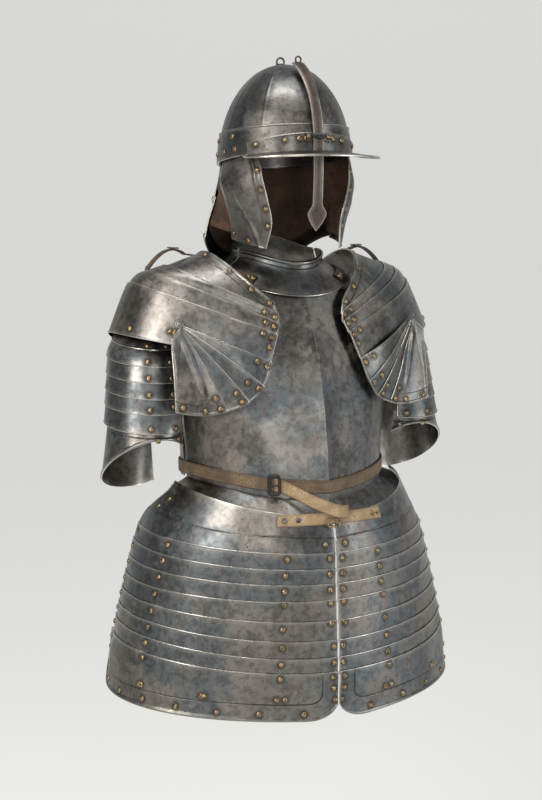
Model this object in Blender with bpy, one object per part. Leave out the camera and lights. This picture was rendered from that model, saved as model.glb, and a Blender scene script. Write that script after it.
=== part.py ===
"""A half armour of steel plates and leather straps, in metres, with +Z up.

The wearer faces -Y and the wearer's left is +X. The origin lies between the shoulders at the base of the
neck. In the formulas below, forward is the distance in front of the origin, which is minus Y.
"""
import math

import bmesh
import bpy
import numpy as np
from mathutils import Matrix, Vector

for thing in list(bpy.data.objects):
    bpy.data.objects.remove(thing, do_unlink=True)

# Metal, leather and clearances
TORSO_WALL = 0.0022
LAME_WALL = 0.0012
HELMET_WALL = 0.0015
LEATHER_WALL = 0.0025
LINING_WALL = 0.0016
FIT_GAP = 0.0004
LAME_GAP = 0.0005
LAME_LAP = 0.006
LAME_STEP = (LAME_WALL + LAME_GAP) * 1.3

# Breastplate and backplate
TORSO_TOP = 0.055
TORSO_HALF_WIDTH = 0.185
BREAST_DEPTH = 0.144
KEEL_HEIGHT = 0.024
KEEL_SPREAD = 0.045
BREAST_ROUND = 0.85
BACK_DEPTH = 0.108
WAIST_SIDE_DROP = 0.345
WAIST_FRONT_DROP = 0.372
FLANGE_SIDE_LENGTH = 0.012
FLANGE_FRONT_LENGTH = 0.030
FLANGE_SIDE_DROP = WAIST_SIDE_DROP + FLANGE_SIDE_LENGTH
FLANGE_FRONT_DROP = WAIST_FRONT_DROP + FLANGE_FRONT_LENGTH

# Waist belt, whose middle lies a little above the plates' lower edge
BELT_WIDTH = 0.020
BELT_SIDE_RISE = 0.015
BELT_FRONT_RISE = 0.020
BELT_SIDE_DROP = WAIST_SIDE_DROP - BELT_SIDE_RISE
BELT_FRONT_DROP = WAIST_FRONT_DROP - BELT_FRONT_RISE
BELT_GAP = 0.0009
OVERLAP_START = 0.93
OVERLAP_RISE = 0.05
BELT_TURN_SHARE = 0.88
TONGUE_LENGTH = 0.096
TONGUE_FALL = 0.036
TONGUE_STAND = 0.024
TONGUE_RISE_START = 0.12
BUCKLE_ANGLE = -27.5
BUCKLE_WIDTH = 0.016
BUCKLE_BAR = 0.0022
BUCKLE_MARGIN = 0.004
BUCKLE_CORNER = 0.15

# Gorget
GORGET_HALF_WIDTH = 0.120
GORGET_DEPTH = 0.100
GORGET_BACK_DEPTH = 0.1236
GORGET_FALL = 0.064
GORGET_FOOT = 0.6

# Shoulder straps, which lie on the collar
STRAP_END = 45.0
STRAP_INNER = 0.08
STRAP_OUTER = 0.63

# Tassets
SKIRT_TOP = 0.340
SKIRT_LENGTH = 0.370
SKIRT_HALF_WIDTH = 0.294
SKIRT_DEPTH = 0.192
SKIRT_FORWARD = 0.0076
SKIRT_SPLIT = 0.0024
HEM_SIDE_RISE = 0.042
HEM_CORNER = 0.034
HEM_TURN_SHARE = 0.85
TASSET_STRAP_REACH = 24.0
TASSET_STRAP_WIDTH = 0.018
TASSET_STRAP_FALL = 0.058
TASSET_STRAP_DROP = SKIRT_TOP + TASSET_STRAP_FALL

# Pauldrons
SHOULDER_REACH = 0.277
PAULDRON_FRONT = 0.127
PAULDRON_DROP = 0.161
ARCH_SPREAD = 2.4
ARCH_FALL = 1.8
ARCH_END = 0.96
PIVOT_REACH = 0.2043
PIVOT_FORWARD = 0.0692
PIVOT_DROP = 0.103
WING_RADIUS = 0.153
WING_FORWARD = 0.062
WING_LAP = 4.0
WING_HOLE = 0.0035
WING_TAIL = 0.021
WING_TAIL_START = 0.9
WING_STACK_REACH = 0.45
BOLT_RADIUS = 0.0075
BOLT_HEIGHT = 0.005
BOLT_LEAN_OUT = 0.58
BOLT_LEAN_UP = 0.31
LOOP_START = 0.146
LOOP_REACH = 0.066
LOOP_FORWARD = -0.036
LOOP_WIDTH = 0.014
LOOP_HEIGHT = 0.018
LOOP_FALL = 0.0245

# Upper arms
ARM_REACH = 0.210
ARM_FORWARD = -0.024
ARM_SPLAY = 0.018
ARM_ADVANCE = 0.021
ARM_RADIUS = 0.0640
ARM_TOP_NARROWING = 0.31
ARM_NARROW_SHARE = 0.35
ARM_HALF_ANGLE = 97.0
ARM_WIDENING = 22.0
ARM_TURN = 3.0
ARM_LAME_STEP = LAME_WALL * 1.2
ARM_EDGE_SHARE = 0.004
ARM_TOP = 0.100
ARM_LENGTH = 0.160
ARM_TILT = 0.010
CUFF_LENGTH = 0.062
CUFF_TILT = 0.043
CUFF_TUCK = 0.010
CUFF_TOP_SHARE = 0.937
CUFF_FLARE = 0.12
CUFF_FLARE_POWER = 1.2
CUFF_HALF_ANGLE = 122.0
CUFF_WIDENING = 10.0
CUFF_TURN = 4.0

# Helmet
HELMET_FORWARD = 0.024
HELMET_HALF_WIDTH = 0.103
HELMET_FRONT = 0.1015
HELMET_BACK = 0.110
HELMET_RIM = 0.145
RIM_PITCH = 0.014
BOWL_HEIGHT = 0.148
BAND_HEIGHT = 0.045
FLANGE_HEIGHT = 0.030
PEAK_REACH = 0.055
PEAK_ANGLE = 60.0
PEAK_DROOP = 0.008
PEAK_END_NARROWING = 0.75
FLANGE_END_FALL = 0.35
SLOT_PLAY = 0.0010
SLOT_BELOW = 0.01
SLOT_ABOVE = 0.03
CHEEK_LENGTH = 0.149
CHEEK_REAR_RISE = 0.027
CHEEK_TUCK = 0.004
TAIL_LENGTH = 0.118
TAIL_ANGLE = 112.0
TAIL_FLARE = 0.024
TAIL_TUCK = 0.970
TAIL_DIP = 0.0487
TAIL_FOOT_FLARE = 0.010
TAIL_SIDE_FLARE = 0.75
TAIL_LAME_SPANS = ((0.0, 0.52), (0.46, 1.0))
LINING_ANGLE = 62.0
LINING_TOP = 0.02
LINING_FOOT = 0.93
LINING_LENGTH = 0.9
LINING_SINK = 3.1
BLEND_ANGLE = 98.0
BLEND_WIDTH = 18.0
BAR_WIDTH = 0.0165
BAR_THICKNESS = 0.003
BAR_GAP = 0.0012
BAR_ARC = 68.0
BAR_LEAN = 0.008
BAR_LEAN_START = 0.01
BAR_LEAN_POWER = 2.5
BAR_STRAIGHT_TOP = 0.012
BAR_TOP_DIP = 0.006
BAR_TOP_WIDENING = 0.25
BAR_TOP_SHARE = 0.6
LEAF_WIDTH = 0.032
LEAF_DROP = 0.037
LEAF_HEIGHT = 0.052
RING_RADIUS = 0.0065
RING_WIRE = 0.0016
RING_SETBACK = 0.014
RING_DIP = 0.0016
RING_RISE = 0.9
POST_SHARE = 0.8
BRACKET_PLAY = 0.001
BRACKET_FOOT = 0.020
BRACKET_RISE = 0.014
BRACKET_HEIGHT = 0.012
BRACKET_FOOT_WALL = 0.0018
BRACKET_WALL = 0.002
SCREW_RADIUS = 0.0028
SCREW_LENGTH = 0.008
SCREW_WING = 0.009
FIN_START = 0.006
FIN_END = 0.0085


def table(columns, rows):
    """A short table as one array for each named column."""
    return dict(zip(columns.split(), np.array(rows, float).T))


# Torso sections, top to waist: widths and depths are shares, side is the angle where the plate ends
TORSO = table("down width front keel back side back_side", [
    (0.00, 0.81, 0.590, 0.25, 0.80, 42, 58),
    (0.10, 0.89, 0.66, 0.42, 0.88, 43, 58),
    (0.26, 0.97, 0.77, 0.60, 0.96, 45, 56),
    (0.38, 1.00, 0.84, 0.80, 1.00, 53, 60),
    (0.50, 1.00, 0.89, 0.88, 1.00, 74, 76),
    (0.66, 0.95, 0.945, 0.96, 0.97, 86, 87),
    (0.85, 0.90, 0.985, 1.00, 0.92, 88, 89),
    (1.00, 0.892, 1.00, 1.00, 0.90, 88, 89),
])

# Gorget sections, rim to lower edge: falls are shares of the front fall, and negative above the origin
GORGET = table("down width front back front_fall side_fall back_fall", [
    (0.00, 0.56, 0.75, 0.62, 0.17, -0.11, -0.47),
    (0.25, 0.59, 0.79, 0.66, 0.41, 0.12, -0.20),
    (0.60, 0.76, 0.88, 0.80, 0.70, 0.33, 0.25),
    (1.00, 1.00, 1.00, 1.00, 1.00, 0.56, 0.70),
])

# Skirt sections: how wide and deep the tassets stand at each share of the drop
SKIRT = table("down width depth", [
    (0.00, 0.645, 0.837),
    (0.14, 0.738, 0.892),
    (0.24, 0.798, 0.931),
    (0.45, 0.879, 0.958),
    (0.65, 0.940, 0.986),
    (0.85, 0.988, 1.000),
    (1.00, 1.000, 1.000),
])

# Half width of the face bar's leaf from its root to its tip, as a share of the leaf's half width
LEAF = table("down half", [
    (0.00, 0.50),
    (0.25, 0.56),
    (0.50, 1.00),
    (0.72, 0.72),
    (1.00, 0.03),
])

# The wing screw's fin, corner by corner: across as a share of its reach, and up in metres
FIN_CORNERS = ((-1.0, -0.001), (-0.4, -0.0035), (0.4, -0.0035), (1.0, -0.001), (1.0, 0.004), (0.3, 0.0025),
               (-0.3, 0.0025), (-1.0, 0.004))

# Upper edges of the nine tasset plates: drops at the front and at the rear edge as shares of the skirt
TASSET_EDGES = table("front rear angle", [
    (0.147, 0.000, 84),
    (0.295, 0.220, 109),
    (0.361, 0.283, 110),
    (0.424, 0.351, 110),
    (0.491, 0.420, 111),
    (0.576, 0.484, 111),
    (0.657, 0.548, 111),
    (0.729, 0.608, 111),
    (0.790, 0.672, 111),
])

# Pauldron edges from the neck border to the arm: each arch's top, front end and back end, as shares
PAULDRON = table("top_x top_f top_z front_x front_f front_z back_x back_f back_z", [
    (0.449, -0.04, -0.025, 0.217, 0.811, 0.447, 0.240, -0.80, 0.43),
    (0.684, -0.08, 0.109, 0.199, 0.843, 0.547, 0.230, -0.86, 0.53),
    (0.775, -0.14, 0.155, 0.199, 0.866, 0.646, 0.230, -0.90, 0.64),
    (0.868, -0.22, 0.267, 0.220, 0.925, 0.745, 0.250, -0.95, 0.78),
    (1.000, -0.19, 0.733, 0.278, 1.000, 1.000, 0.325, -1.02, 1.25),
])
PAULDRON_LAPS = (0.0, 0.30, 0.27, 0.10, 0.0)

# Front wing border seen from the pivot: angle below the inward line, reach and forward stand as shares
WING = table("angle radius forward", [
    (9, 0.90, 0.82),
    (24.5, 0.91, 0.93),
    (39.6, 0.96, 1.00),
    (51.8, 0.98, 0.86),
    (64.6, 0.95, 0.66),
    (99, 0.855, 0.42),
])
WING_EDGES = (24.5, 39.6, 51.8, 64.6)

# Lower edges of the narrow arm lames, as shares of the arm's length
ARM_EDGES = (0.10, 0.216, 0.369, 0.522, 0.675, 0.819, 1.0)

# Cheek piece sections, top to bottom: edge angles from the front, width and depth as shares of the skull
CHEEK = table("down front_angle back_angle width depth", [
    (0.00, 55, 100, 0.950, 0.955),
    (0.14, 47, 96, 1.030, 0.955),
    (0.30, 42, 90, 1.100, 0.945),
    (0.50, 39, 86, 1.060, 0.930),
    (0.75, 39, 90, 0.930, 0.905),
    (1.00, 47, 96, 0.850, 0.880),
])

STEEL = ("aged_steel", (0.33, 0.32, 0.31, 1), 0.38, 1.0)
DARK_STEEL = ("dark_steel", (0.12, 0.115, 0.11, 1), 0.5, 1.0)
LEATHER = ("brown_leather", (0.17, 0.10, 0.055, 1), 0.8, 0.0)
TAN_LEATHER = ("tan_leather", (0.45, 0.32, 0.18, 1), 0.75, 0.0)


def material(look):
    """The Principled material of a name, colour, roughness and metallic value, made once."""
    name, colour, roughness, metallic = look
    found = bpy.data.materials.get(name)
    if found:
        return found
    made = bpy.data.materials.new(name)
    made.use_nodes = True
    shader = made.node_tree.nodes["Principled BSDF"]
    shader.inputs["Base Color"].default_value = colour
    shader.inputs["Roughness"].default_value = roughness
    shader.inputs["Metallic"].default_value = metallic
    return made


def finish(name, look, points, faces):
    """One named object of points and faces, merged at poles, with its faces turned outward."""
    mesh = bpy.data.meshes.new(name)
    mesh.from_pydata([tuple(point) for point in points], [], faces)
    body = bmesh.new()
    body.from_mesh(mesh)
    bmesh.ops.remove_doubles(body, verts=body.verts, dist=1e-6)
    bmesh.ops.recalc_face_normals(body, faces=body.faces)
    body.to_mesh(mesh)
    body.free()
    mesh.shade_smooth()
    mesh.set_sharp_from_angle(angle=math.radians(35))
    mesh.materials.append(material(look))
    made = bpy.data.objects.new(name, mesh)
    bpy.context.scene.collection.objects.link(made)
    return made


def through(share, knots, values):
    """A smooth curve through the values at the knots: cubic pieces whose slopes come from the neighbours."""
    knots = np.asarray(knots, float)
    values = np.asarray(values, float)
    slopes = np.gradient(values, knots)
    share = np.clip(share, knots[0], knots[-1])
    cell = np.clip(np.searchsorted(knots, share, side="right") - 1, 0, len(knots) - 2)
    width = knots[cell + 1] - knots[cell]
    x = (share - knots[cell]) / width
    start = (1 + 2 * x) * (1 - x) ** 2 * values[cell] + x * (1 - x) ** 2 * width * slopes[cell]
    end = x * x * (3 - 2 * x) * values[cell + 1] + x * x * (x - 1) * width * slopes[cell + 1]
    return start + end


def column(rows, name, share):
    """One column of a table at a share of its first column."""
    first = next(iter(rows.values()))
    return through(share, first, rows[name])


def place(across, forward, up):
    """Points from their distances to the wearer's left, forward and up."""
    return np.stack(np.broadcast_arrays(across, -forward, up), axis=-1)


def ease(share):
    """A smooth step from 0 to 1."""
    share = np.clip(share, 0, 1)
    return share * share * (3 - 2 * share)


def outward_normals(surface, s, t, inside):
    """The surface's normals, turned away from a point inside, by central differences."""
    step = 1e-4
    along_s = surface(s + step, t) - surface(s - step, t)
    along_t = surface(s, t + step) - surface(s, t - step)
    normal = np.cross(along_s, along_t)
    length = np.linalg.norm(normal, axis=-1, keepdims=True)
    normal = normal / np.maximum(length, 1e-15)
    side = np.sum(normal * (surface(s, t) - np.asarray(inside)))
    return normal if side > 0 else -normal


def sheet_points(surface, rows, columns, lift, wall, inside):
    """Outer and inner points of a sheet: the surface at rows by columns, raised by lift, and a wall below it."""
    s, t = np.meshgrid(np.asarray(rows, float), np.asarray(columns, float), indexing="ij")
    base = surface(s, t)
    normal = outward_normals(surface, s, t, inside)
    lift = np.broadcast_to(np.asarray(lift, float).reshape(-1, 1) if np.ndim(lift) == 1 else lift, s.shape)
    outer = base + normal * lift[..., None]
    inner = base + normal * (lift - wall)[..., None]
    for points in (outer, inner):
        for row in (0, -1):
            if np.ptp(base[row], axis=0).max() < 1e-6:
                points[row] = points[row].mean(axis=0)
    return outer, inner


def sheet(name, look, surface, rows, columns, lift=0.0, wall=LAME_WALL, inside=(0, 0, 0), closed=False):
    """A plate or strap as one closed body with outer faces, inner faces and rims."""
    outer, inner = sheet_points(surface, rows, columns, lift, wall, inside)
    row_count, column_count = outer.shape[:2]
    points = np.concatenate([outer.reshape(-1, 3), inner.reshape(-1, 3)])
    below = row_count * column_count

    def at(row, col):
        return row * column_count + col % column_count

    faces = []
    last = column_count if closed else column_count - 1
    for row in range(row_count - 1):
        for col in range(last):
            a, b, c, d = at(row, col), at(row, col + 1), at(row + 1, col + 1), at(row + 1, col)
            faces += [(a, b, c), (a, c, d)]
            faces += [(a + below, c + below, b + below), (a + below, d + below, c + below)]
    for col in range(last):
        for row in (0, row_count - 1):
            a, b = at(row, col), at(row, col + 1)
            faces += [(a, a + below, b + below), (a, b + below, b)]
    if not closed:
        for row in range(row_count - 1):
            for col in (0, column_count - 1):
                a, b = at(row, col), at(row + 1, col)
                faces += [(a, b + below, a + below), (a, b, b + below)]
    faces = [face for face in faces if len(set(face)) == 3]
    return finish(name, look, points, faces)


def prism(name, look, outline, start, end):
    """A flat outline of (across, up) pairs as a block between two forward distances."""
    count = len(outline)
    points = [(x, -start, z) for x, z in outline] + [(x, -end, z) for x, z in outline]
    faces = [tuple(range(count)), tuple(range(2 * count - 1, count - 1, -1))]
    faces += [(i, i + count, (i + 1) % count + count, (i + 1) % count) for i in range(count)]
    return finish(name, look, points, faces)


def tube(name, look, path, radius, sides, closed):
    """A round wire along a path of points in the plane across and up, or along and up."""
    path = np.asarray(path, float)
    ahead = np.roll(path, -1, axis=0) - np.roll(path, 1, axis=0)
    if not closed:
        ahead[0] = path[1] - path[0]
        ahead[-1] = path[-1] - path[-2]
    ahead /= np.linalg.norm(ahead, axis=1, keepdims=True)
    flat = np.linalg.svd(path - path.mean(axis=0))[2][2]
    out = np.cross(ahead, flat)
    angle = np.arange(sides) * 2 * math.pi / sides
    ring = np.cos(angle)[None, :, None] * out[:, None, :] + np.sin(angle)[None, :, None] * flat
    points = (path[:, None, :] + radius * ring).reshape(-1, 3)
    count = len(path)
    faces = []
    for i in range(count if closed else count - 1):
        for j in range(sides):
            k = (j + 1) % sides
            n = (i + 1) % count
            faces.append((i * sides + j, i * sides + k, n * sides + k, n * sides + j))
    if not closed:
        faces.append(tuple(range(sides - 1, -1, -1)))
        faces.append(tuple((count - 1) * sides + j for j in range(sides)))
    return finish(name, look, points, faces)


def combine(target, tool, operation, solver="EXACT"):
    """Applies a Boolean of a tool to a target and removes the tool."""
    change = target.modifiers.new(operation.lower(), "BOOLEAN")
    change.operation = operation
    change.solver = solver
    change.object = tool
    graph = bpy.context.evaluated_depsgraph_get()
    done = bpy.data.meshes.new_from_object(target.evaluated_get(graph))
    target.modifiers.clear()
    target.data = done
    bpy.data.objects.remove(tool, do_unlink=True)


def set_origin(thing, spot):
    """Puts a moving piece's origin on its joint's axis and leaves the piece where it is."""
    thing.data.transform(Matrix.Translation(-Vector(spot)))
    thing.location = spot


def torso(s, angle):
    """The torso's skin at a share down from its top and an angle from the front."""
    turn = np.radians(angle)
    front = np.cos(turn) > 0
    drop = WAIST_SIDE_DROP + np.where(front, (WAIST_FRONT_DROP - WAIST_SIDE_DROP) * np.cos(turn) ** 2, 0)
    across = TORSO_HALF_WIDTH * column(TORSO, "width", s) * np.sin(turn)
    keel = KEEL_HEIGHT * column(TORSO, "keel", s) * np.exp(-np.abs(across) / KEEL_SPREAD)
    bow = np.maximum(np.cos(turn), 0) ** BREAST_ROUND
    ahead = BREAST_DEPTH * column(TORSO, "front", s) * bow + keel * np.maximum(np.cos(turn), 0)
    behind = BACK_DEPTH * column(TORSO, "back", s) * np.cos(turn)
    up = -(TORSO_TOP + s * (drop - TORSO_TOP))
    return place(across, np.where(front, ahead, behind), up)


def skirt(angle, down):
    """The tassets' base surface at an angle from the front and a drop below the origin."""
    turn = np.radians(angle)
    share = (down - SKIRT_TOP) / SKIRT_LENGTH
    across = SKIRT_HALF_WIDTH * column(SKIRT, "width", share) * np.sin(turn)
    forward = SKIRT_FORWARD + SKIRT_DEPTH * column(SKIRT, "depth", share) * np.cos(turn)
    return place(across, forward, -down)


def breast_surface(s, t):
    """The breastplate: the torso down to the waist, then a flange that lies under the tassets."""
    upper = torso(np.clip(s, 0, 1), t * column(TORSO, "side", np.clip(s, 0, 1)))
    angle = t * TORSO["side"][-1]
    front = np.cos(np.radians(angle)) ** 2
    start = WAIST_SIDE_DROP + (WAIST_FRONT_DROP - WAIST_SIDE_DROP) * front
    end = FLANGE_SIDE_DROP + (FLANGE_FRONT_DROP - FLANGE_SIDE_DROP) * front
    drop = start + (s - 1) * (end - start)
    rim = skirt(angle, drop)
    scale = 1 - (LAME_WALL + FIT_GAP + 3 * LAME_GAP) / SKIRT_DEPTH
    rim = rim * np.array([scale, scale, 1])
    blend = np.clip(s - 1, 0, 1)[..., None]
    flange = rim * blend + (1 - blend) * torso(np.ones_like(s), angle)
    flange[..., 2] = rim[..., 2]
    return np.where((s > 1)[..., None], flange, upper)


def breast_columns():
    """Shares across the breastplate, set closer together near the keel."""
    even = np.linspace(-1, 1, 15)
    return np.sign(even) * np.abs(even) ** 1.15


def make_torso():
    """The breastplate with its waist flange, and the plain backplate."""
    rows = [0, 0.14, 0.30, 0.42, 0.52, 0.64, 0.82, 1.0, 2.0]
    sheet("breastplate", STEEL, breast_surface, rows, breast_columns(), 0.0, TORSO_WALL, (0, 0, -0.2))

    def back(s, t):
        angle = 180 + t * column(TORSO, "back_side", s)
        return torso(s, angle)

    back_rows = [0, 0.2, 0.38, 0.50, 0.66, 0.85, 1.0]
    sheet("backplate", STEEL, back, back_rows, np.linspace(-1, 1, 13), 0.0, TORSO_WALL, (0, 0, -0.2))


def gorget(s, angle):
    """The collar at a share down from its rim and an angle from the front."""
    turn = np.radians(angle)
    front = np.cos(turn) > 0
    across = GORGET_HALF_WIDTH * column(GORGET, "width", s) * np.sin(turn)
    ahead = GORGET_DEPTH * column(GORGET, "front", s)
    behind = GORGET_BACK_DEPTH * column(GORGET, "back", s)
    forward = np.where(front, ahead, behind) * np.cos(turn)
    end_fall = np.where(front, column(GORGET, "front_fall", s), column(GORGET, "back_fall", s))
    side_fall = column(GORGET, "side_fall", s)
    up = -GORGET_FALL * (side_fall + (end_fall - side_fall) * np.cos(turn) ** 2)
    return place(across, forward, up)


def gorget_columns():
    """Angles across the collar's front half; the back half mirrors them."""
    return np.linspace(-88, 88, 13)


def make_gorget():
    """The two halves of the collar."""
    rows = [0, 0.25, GORGET_FOOT, 1.0]
    inside = (0, 0, -0.08)
    sheet("gorget_front", STEEL, gorget, rows, gorget_columns(), 0.0, HELMET_WALL, inside)
    sheet("gorget_back", STEEL, gorget, rows, gorget_columns() + 180, 0.0, HELMET_WALL, inside)


def tasset_drop(angle, plate):
    """The drop of a tasset plate's upper edge at an angle: front and rear drops joined by a smooth step."""
    front = SKIRT_TOP + SKIRT_LENGTH * TASSET_EDGES["front"][plate]
    rear = SKIRT_TOP + SKIRT_LENGTH * TASSET_EDGES["rear"][plate]
    return front + (rear - front) * ease(angle / TASSET_EDGES["angle"][-1]) ** 0.9


def hem_drop(angle, angle_end):
    """The drop of the hem, with round corners at both ends."""
    hem = SKIRT_TOP + SKIRT_LENGTH - HEM_SIDE_RISE * angle / angle_end
    radius_of_turn = SKIRT_HALF_WIDTH * HEM_TURN_SHARE
    from_split = np.radians(angle) * SKIRT_DEPTH
    from_rear = np.radians(angle_end - angle) * radius_of_turn
    rise = 0
    for distance in (from_split, from_rear):
        share = np.clip(1 - distance / HEM_CORNER, 0, 1)
        rise = rise + HEM_CORNER * (1 - np.sqrt(np.maximum(1 - share ** 2, 0)))
    return hem - rise


def make_tasset(side, word):
    """Nine plates: each lower one lies outside the one above it."""
    start = math.degrees(math.asin(SKIRT_SPLIT / (SKIRT_HALF_WIDTH * 0.9)))
    last = len(TASSET_EDGES["front"]) - 1
    for plate in range(last + 1):
        top_angle = TASSET_EDGES["angle"][plate]
        low_angle = TASSET_EDGES["angle"][min(plate + 1, last)]

        def surface(s, t, plate=plate, top_angle=top_angle, low_angle=low_angle):
            angle = start + t * (top_angle + (low_angle - top_angle) * ease(s) - start)
            top = tasset_drop(angle, plate)
            low = tasset_drop(angle, plate + 1) + LAME_LAP if plate < last else hem_drop(angle, low_angle)
            points = skirt(angle, top + s * (low - top))
            return points * np.array([side, 1, 1])

        if plate == 0:
            rows, lifts, count = [0, 0.33, 0.67, 1], [0, 0, 0, 0], 13
        elif plate < last:
            rows, lifts, count = [0, 1], [LAME_STEP, 0], 13
        else:
            rows, lifts, count = [0, 0.3, 0.65, 1], [LAME_STEP, LAME_STEP * 0.75, 0.0, 0.0], 18
        columns = np.linspace(0, 1, count)
        if plate == last:
            columns = 0.5 - 0.5 * np.cos(math.pi * columns) * (0.7 + 0.3 * np.abs(np.cos(math.pi * columns)))
        place_name = "top" if plate == 0 else "bottom" if plate == last else f"lame_{plate}"
        sheet(f"tasset_{place_name}_{word}", STEEL, surface, rows, columns, lifts, LAME_WALL, (0, 0, -0.5))


def arch(k, t):
    """The pauldron's skin between its edges k, from the back end at t = -1 over the top to the front at 1."""
    knots = np.arange(5)
    share = np.sin(np.abs(t) * math.pi / 2)
    fall = 1 - np.cos(np.clip(np.abs(t), 0, 1) * math.pi / 2) ** ARCH_FALL
    spread = share ** ARCH_SPREAD
    top = [through(k, knots, PAULDRON[name]) for name in ("top_x", "top_f", "top_z")]
    front = [through(k, knots, PAULDRON[name]) for name in ("front_x", "front_f", "front_z")]
    back = [through(k, knots, PAULDRON[name]) for name in ("back_x", "back_f", "back_z")]
    end = [np.where(t > 0, one, two) for one, two in zip(front, back)]
    across = SHOULDER_REACH * (top[0] + (end[0] - top[0]) * spread)
    forward = PAULDRON_FRONT * (top[1] + (end[1] - top[1]) * share)
    drop = PAULDRON_DROP * (top[2] + (end[2] - top[2]) * fall)
    return place(across, forward, -drop)


def wing_point(angle, share):
    """The front wing at an angle below the inward line and a share of the way out from the pivot."""
    reach = WING_RADIUS * column(WING, "radius", angle) * share
    forward = PIVOT_FORWARD + WING_FORWARD * column(WING, "forward", angle) * np.sin(share * math.pi / 2)
    turn = np.radians(angle)
    return place(PIVOT_REACH - reach * np.cos(turn), forward, -PIVOT_DROP - reach * np.sin(turn))


def make_pauldron(side, word):
    """Four plates over the shoulder, then the fan of four that turn round one bolt on the front wing."""
    mirror = np.array([side, 1, 1])
    inside = (side * 0.17, 0, -0.16)
    names = ("pauldron_neck_plate", "pauldron_lame_2", "pauldron_lame_3", "pauldron_main")
    columns = np.linspace(-ARCH_END, ARCH_END, 13)

    for index, name in enumerate(names):
        own_lap = PAULDRON_LAPS[index]
        next_lap = PAULDRON_LAPS[index + 1]
        start = index + own_lap
        rows = [start, index + 1]
        lifts = [LAME_STEP * (own_lap > 0), 0]
        if index in (0, 3):
            rows.insert(1, (start + index + 1) / 2)
            lifts.insert(1, lifts[0] / 2)
        if own_lap > 0:
            rows.insert(0, index)
            lifts.insert(0, LAME_STEP)
        if next_lap > 0:
            rows.append(index + 1 + next_lap)
            lifts.append(0)
        sheet(f"{name}_{word}", STEEL, lambda s, t: arch(s, t) * mirror, rows, columns, lifts, LAME_WALL, inside)

    shares = WING_HOLE / WING_RADIUS + (1 - WING_HOLE / WING_RADIUS) * np.linspace(0, 1, 7)
    for index in range(4):
        begin = WING_EDGES[index]
        final = index == 3
        finish_angle = None if final else WING_EDGES[index + 1]

        def surface(s, t, begin=begin, finish_angle=finish_angle):
            if finish_angle is None:
                reach = np.maximum(WING_RADIUS * WING_TAIL_START * t, 1e-4)
                end = 90 + np.degrees(np.arcsin(np.clip(WING_TAIL / reach, 0, 0.7)))
                angle = begin + WING_LAP * np.minimum(s, 1) + np.maximum(s - 1, 0) * (end - begin - WING_LAP)
            else:
                angle = begin + s
            return wing_point(angle, t) * mirror

        if final:
            rows = [0, 1, 1.35, 1.7, 2.0]
            own = np.array([1, 1, 0.6, 0.3, 0.0])
        else:
            rows = [0, WING_LAP, (WING_LAP + finish_angle - begin) / 2, finish_angle - begin]
            rows.append(finish_angle - begin + WING_LAP)
            own = np.array([1, 1, 0.5, 0, 0])
        near = ease(1 - shares / WING_STACK_REACH)
        step = LAME_WALL + LAME_GAP
        lifts = step * (near[None, :] * (index + 1) + (1 - near[None, :]) * own[:, None])
        name = "fan_end_plate" if final else f"fan_lame_{index + 1}"
        made = sheet(f"{name}_{word}", STEEL, surface, rows, shares, lifts, LAME_WALL, (side * 0.17, 0.05, -0.16))
        if final:
            combine(made, bolt_head(side), "UNION", "MANIFOLD")


def bolt_head(side):
    """The pivot bolt's low cone head, which stands on the outermost plate of the fan."""
    axis = np.array([side * BOLT_LEAN_OUT, -1.0, BOLT_LEAN_UP])
    axis = axis / np.linalg.norm(axis)
    across = np.cross(axis, [0, 0, 1.0])
    across = across / np.linalg.norm(across)
    stack = 4 * LAME_WALL + 4 * LAME_GAP - LAME_WALL / 2
    foot = np.array([side * PIVOT_REACH, -PIVOT_FORWARD, -PIVOT_DROP]) + axis * stack
    sides = 10
    angle = np.arange(sides) * 2 * math.pi / sides
    ring = np.cos(angle)[:, None] * across + np.sin(angle)[:, None] * np.cross(across, axis)
    levels = ((0.0, 1.0), (0.4, 1.0), (1.0, 0.5))
    points = np.concatenate([foot + axis * BOLT_HEIGHT * high + ring * BOLT_RADIUS * wide for high, wide in levels])
    faces = [tuple(range(sides)), tuple(range(3 * sides - 1, 2 * sides - 1, -1))]
    for level in range(2):
        for i in range(sides):
            j = (i + 1) % sides
            faces.append((level * sides + i, level * sides + sides + i, level * sides + sides + j, level * sides + j))
    return finish("bolt_head", STEEL, points, faces)


def arm_axis(share):
    """Where the arm's centre line lies at a share of the arm's length."""
    return ARM_REACH + ARM_SPLAY * share, ARM_FORWARD + ARM_ADVANCE * share


def arm_surface(s, angle, side):
    """The upper arm's skin: s is the share of its length, and the angle turns from outside to the front."""
    turn = np.radians(angle)
    centre_x, centre_f = arm_axis(s)
    radius = ARM_RADIUS * (1 - ARM_TOP_NARROWING * (1 - ease(s / ARM_NARROW_SHARE)))
    across = centre_x + radius * np.cos(turn)
    forward = centre_f + radius * np.sin(turn)
    up = -ARM_TOP - ARM_LENGTH * s - ARM_TILT * np.sin(turn)
    return place(side * across, forward, up)


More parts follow.
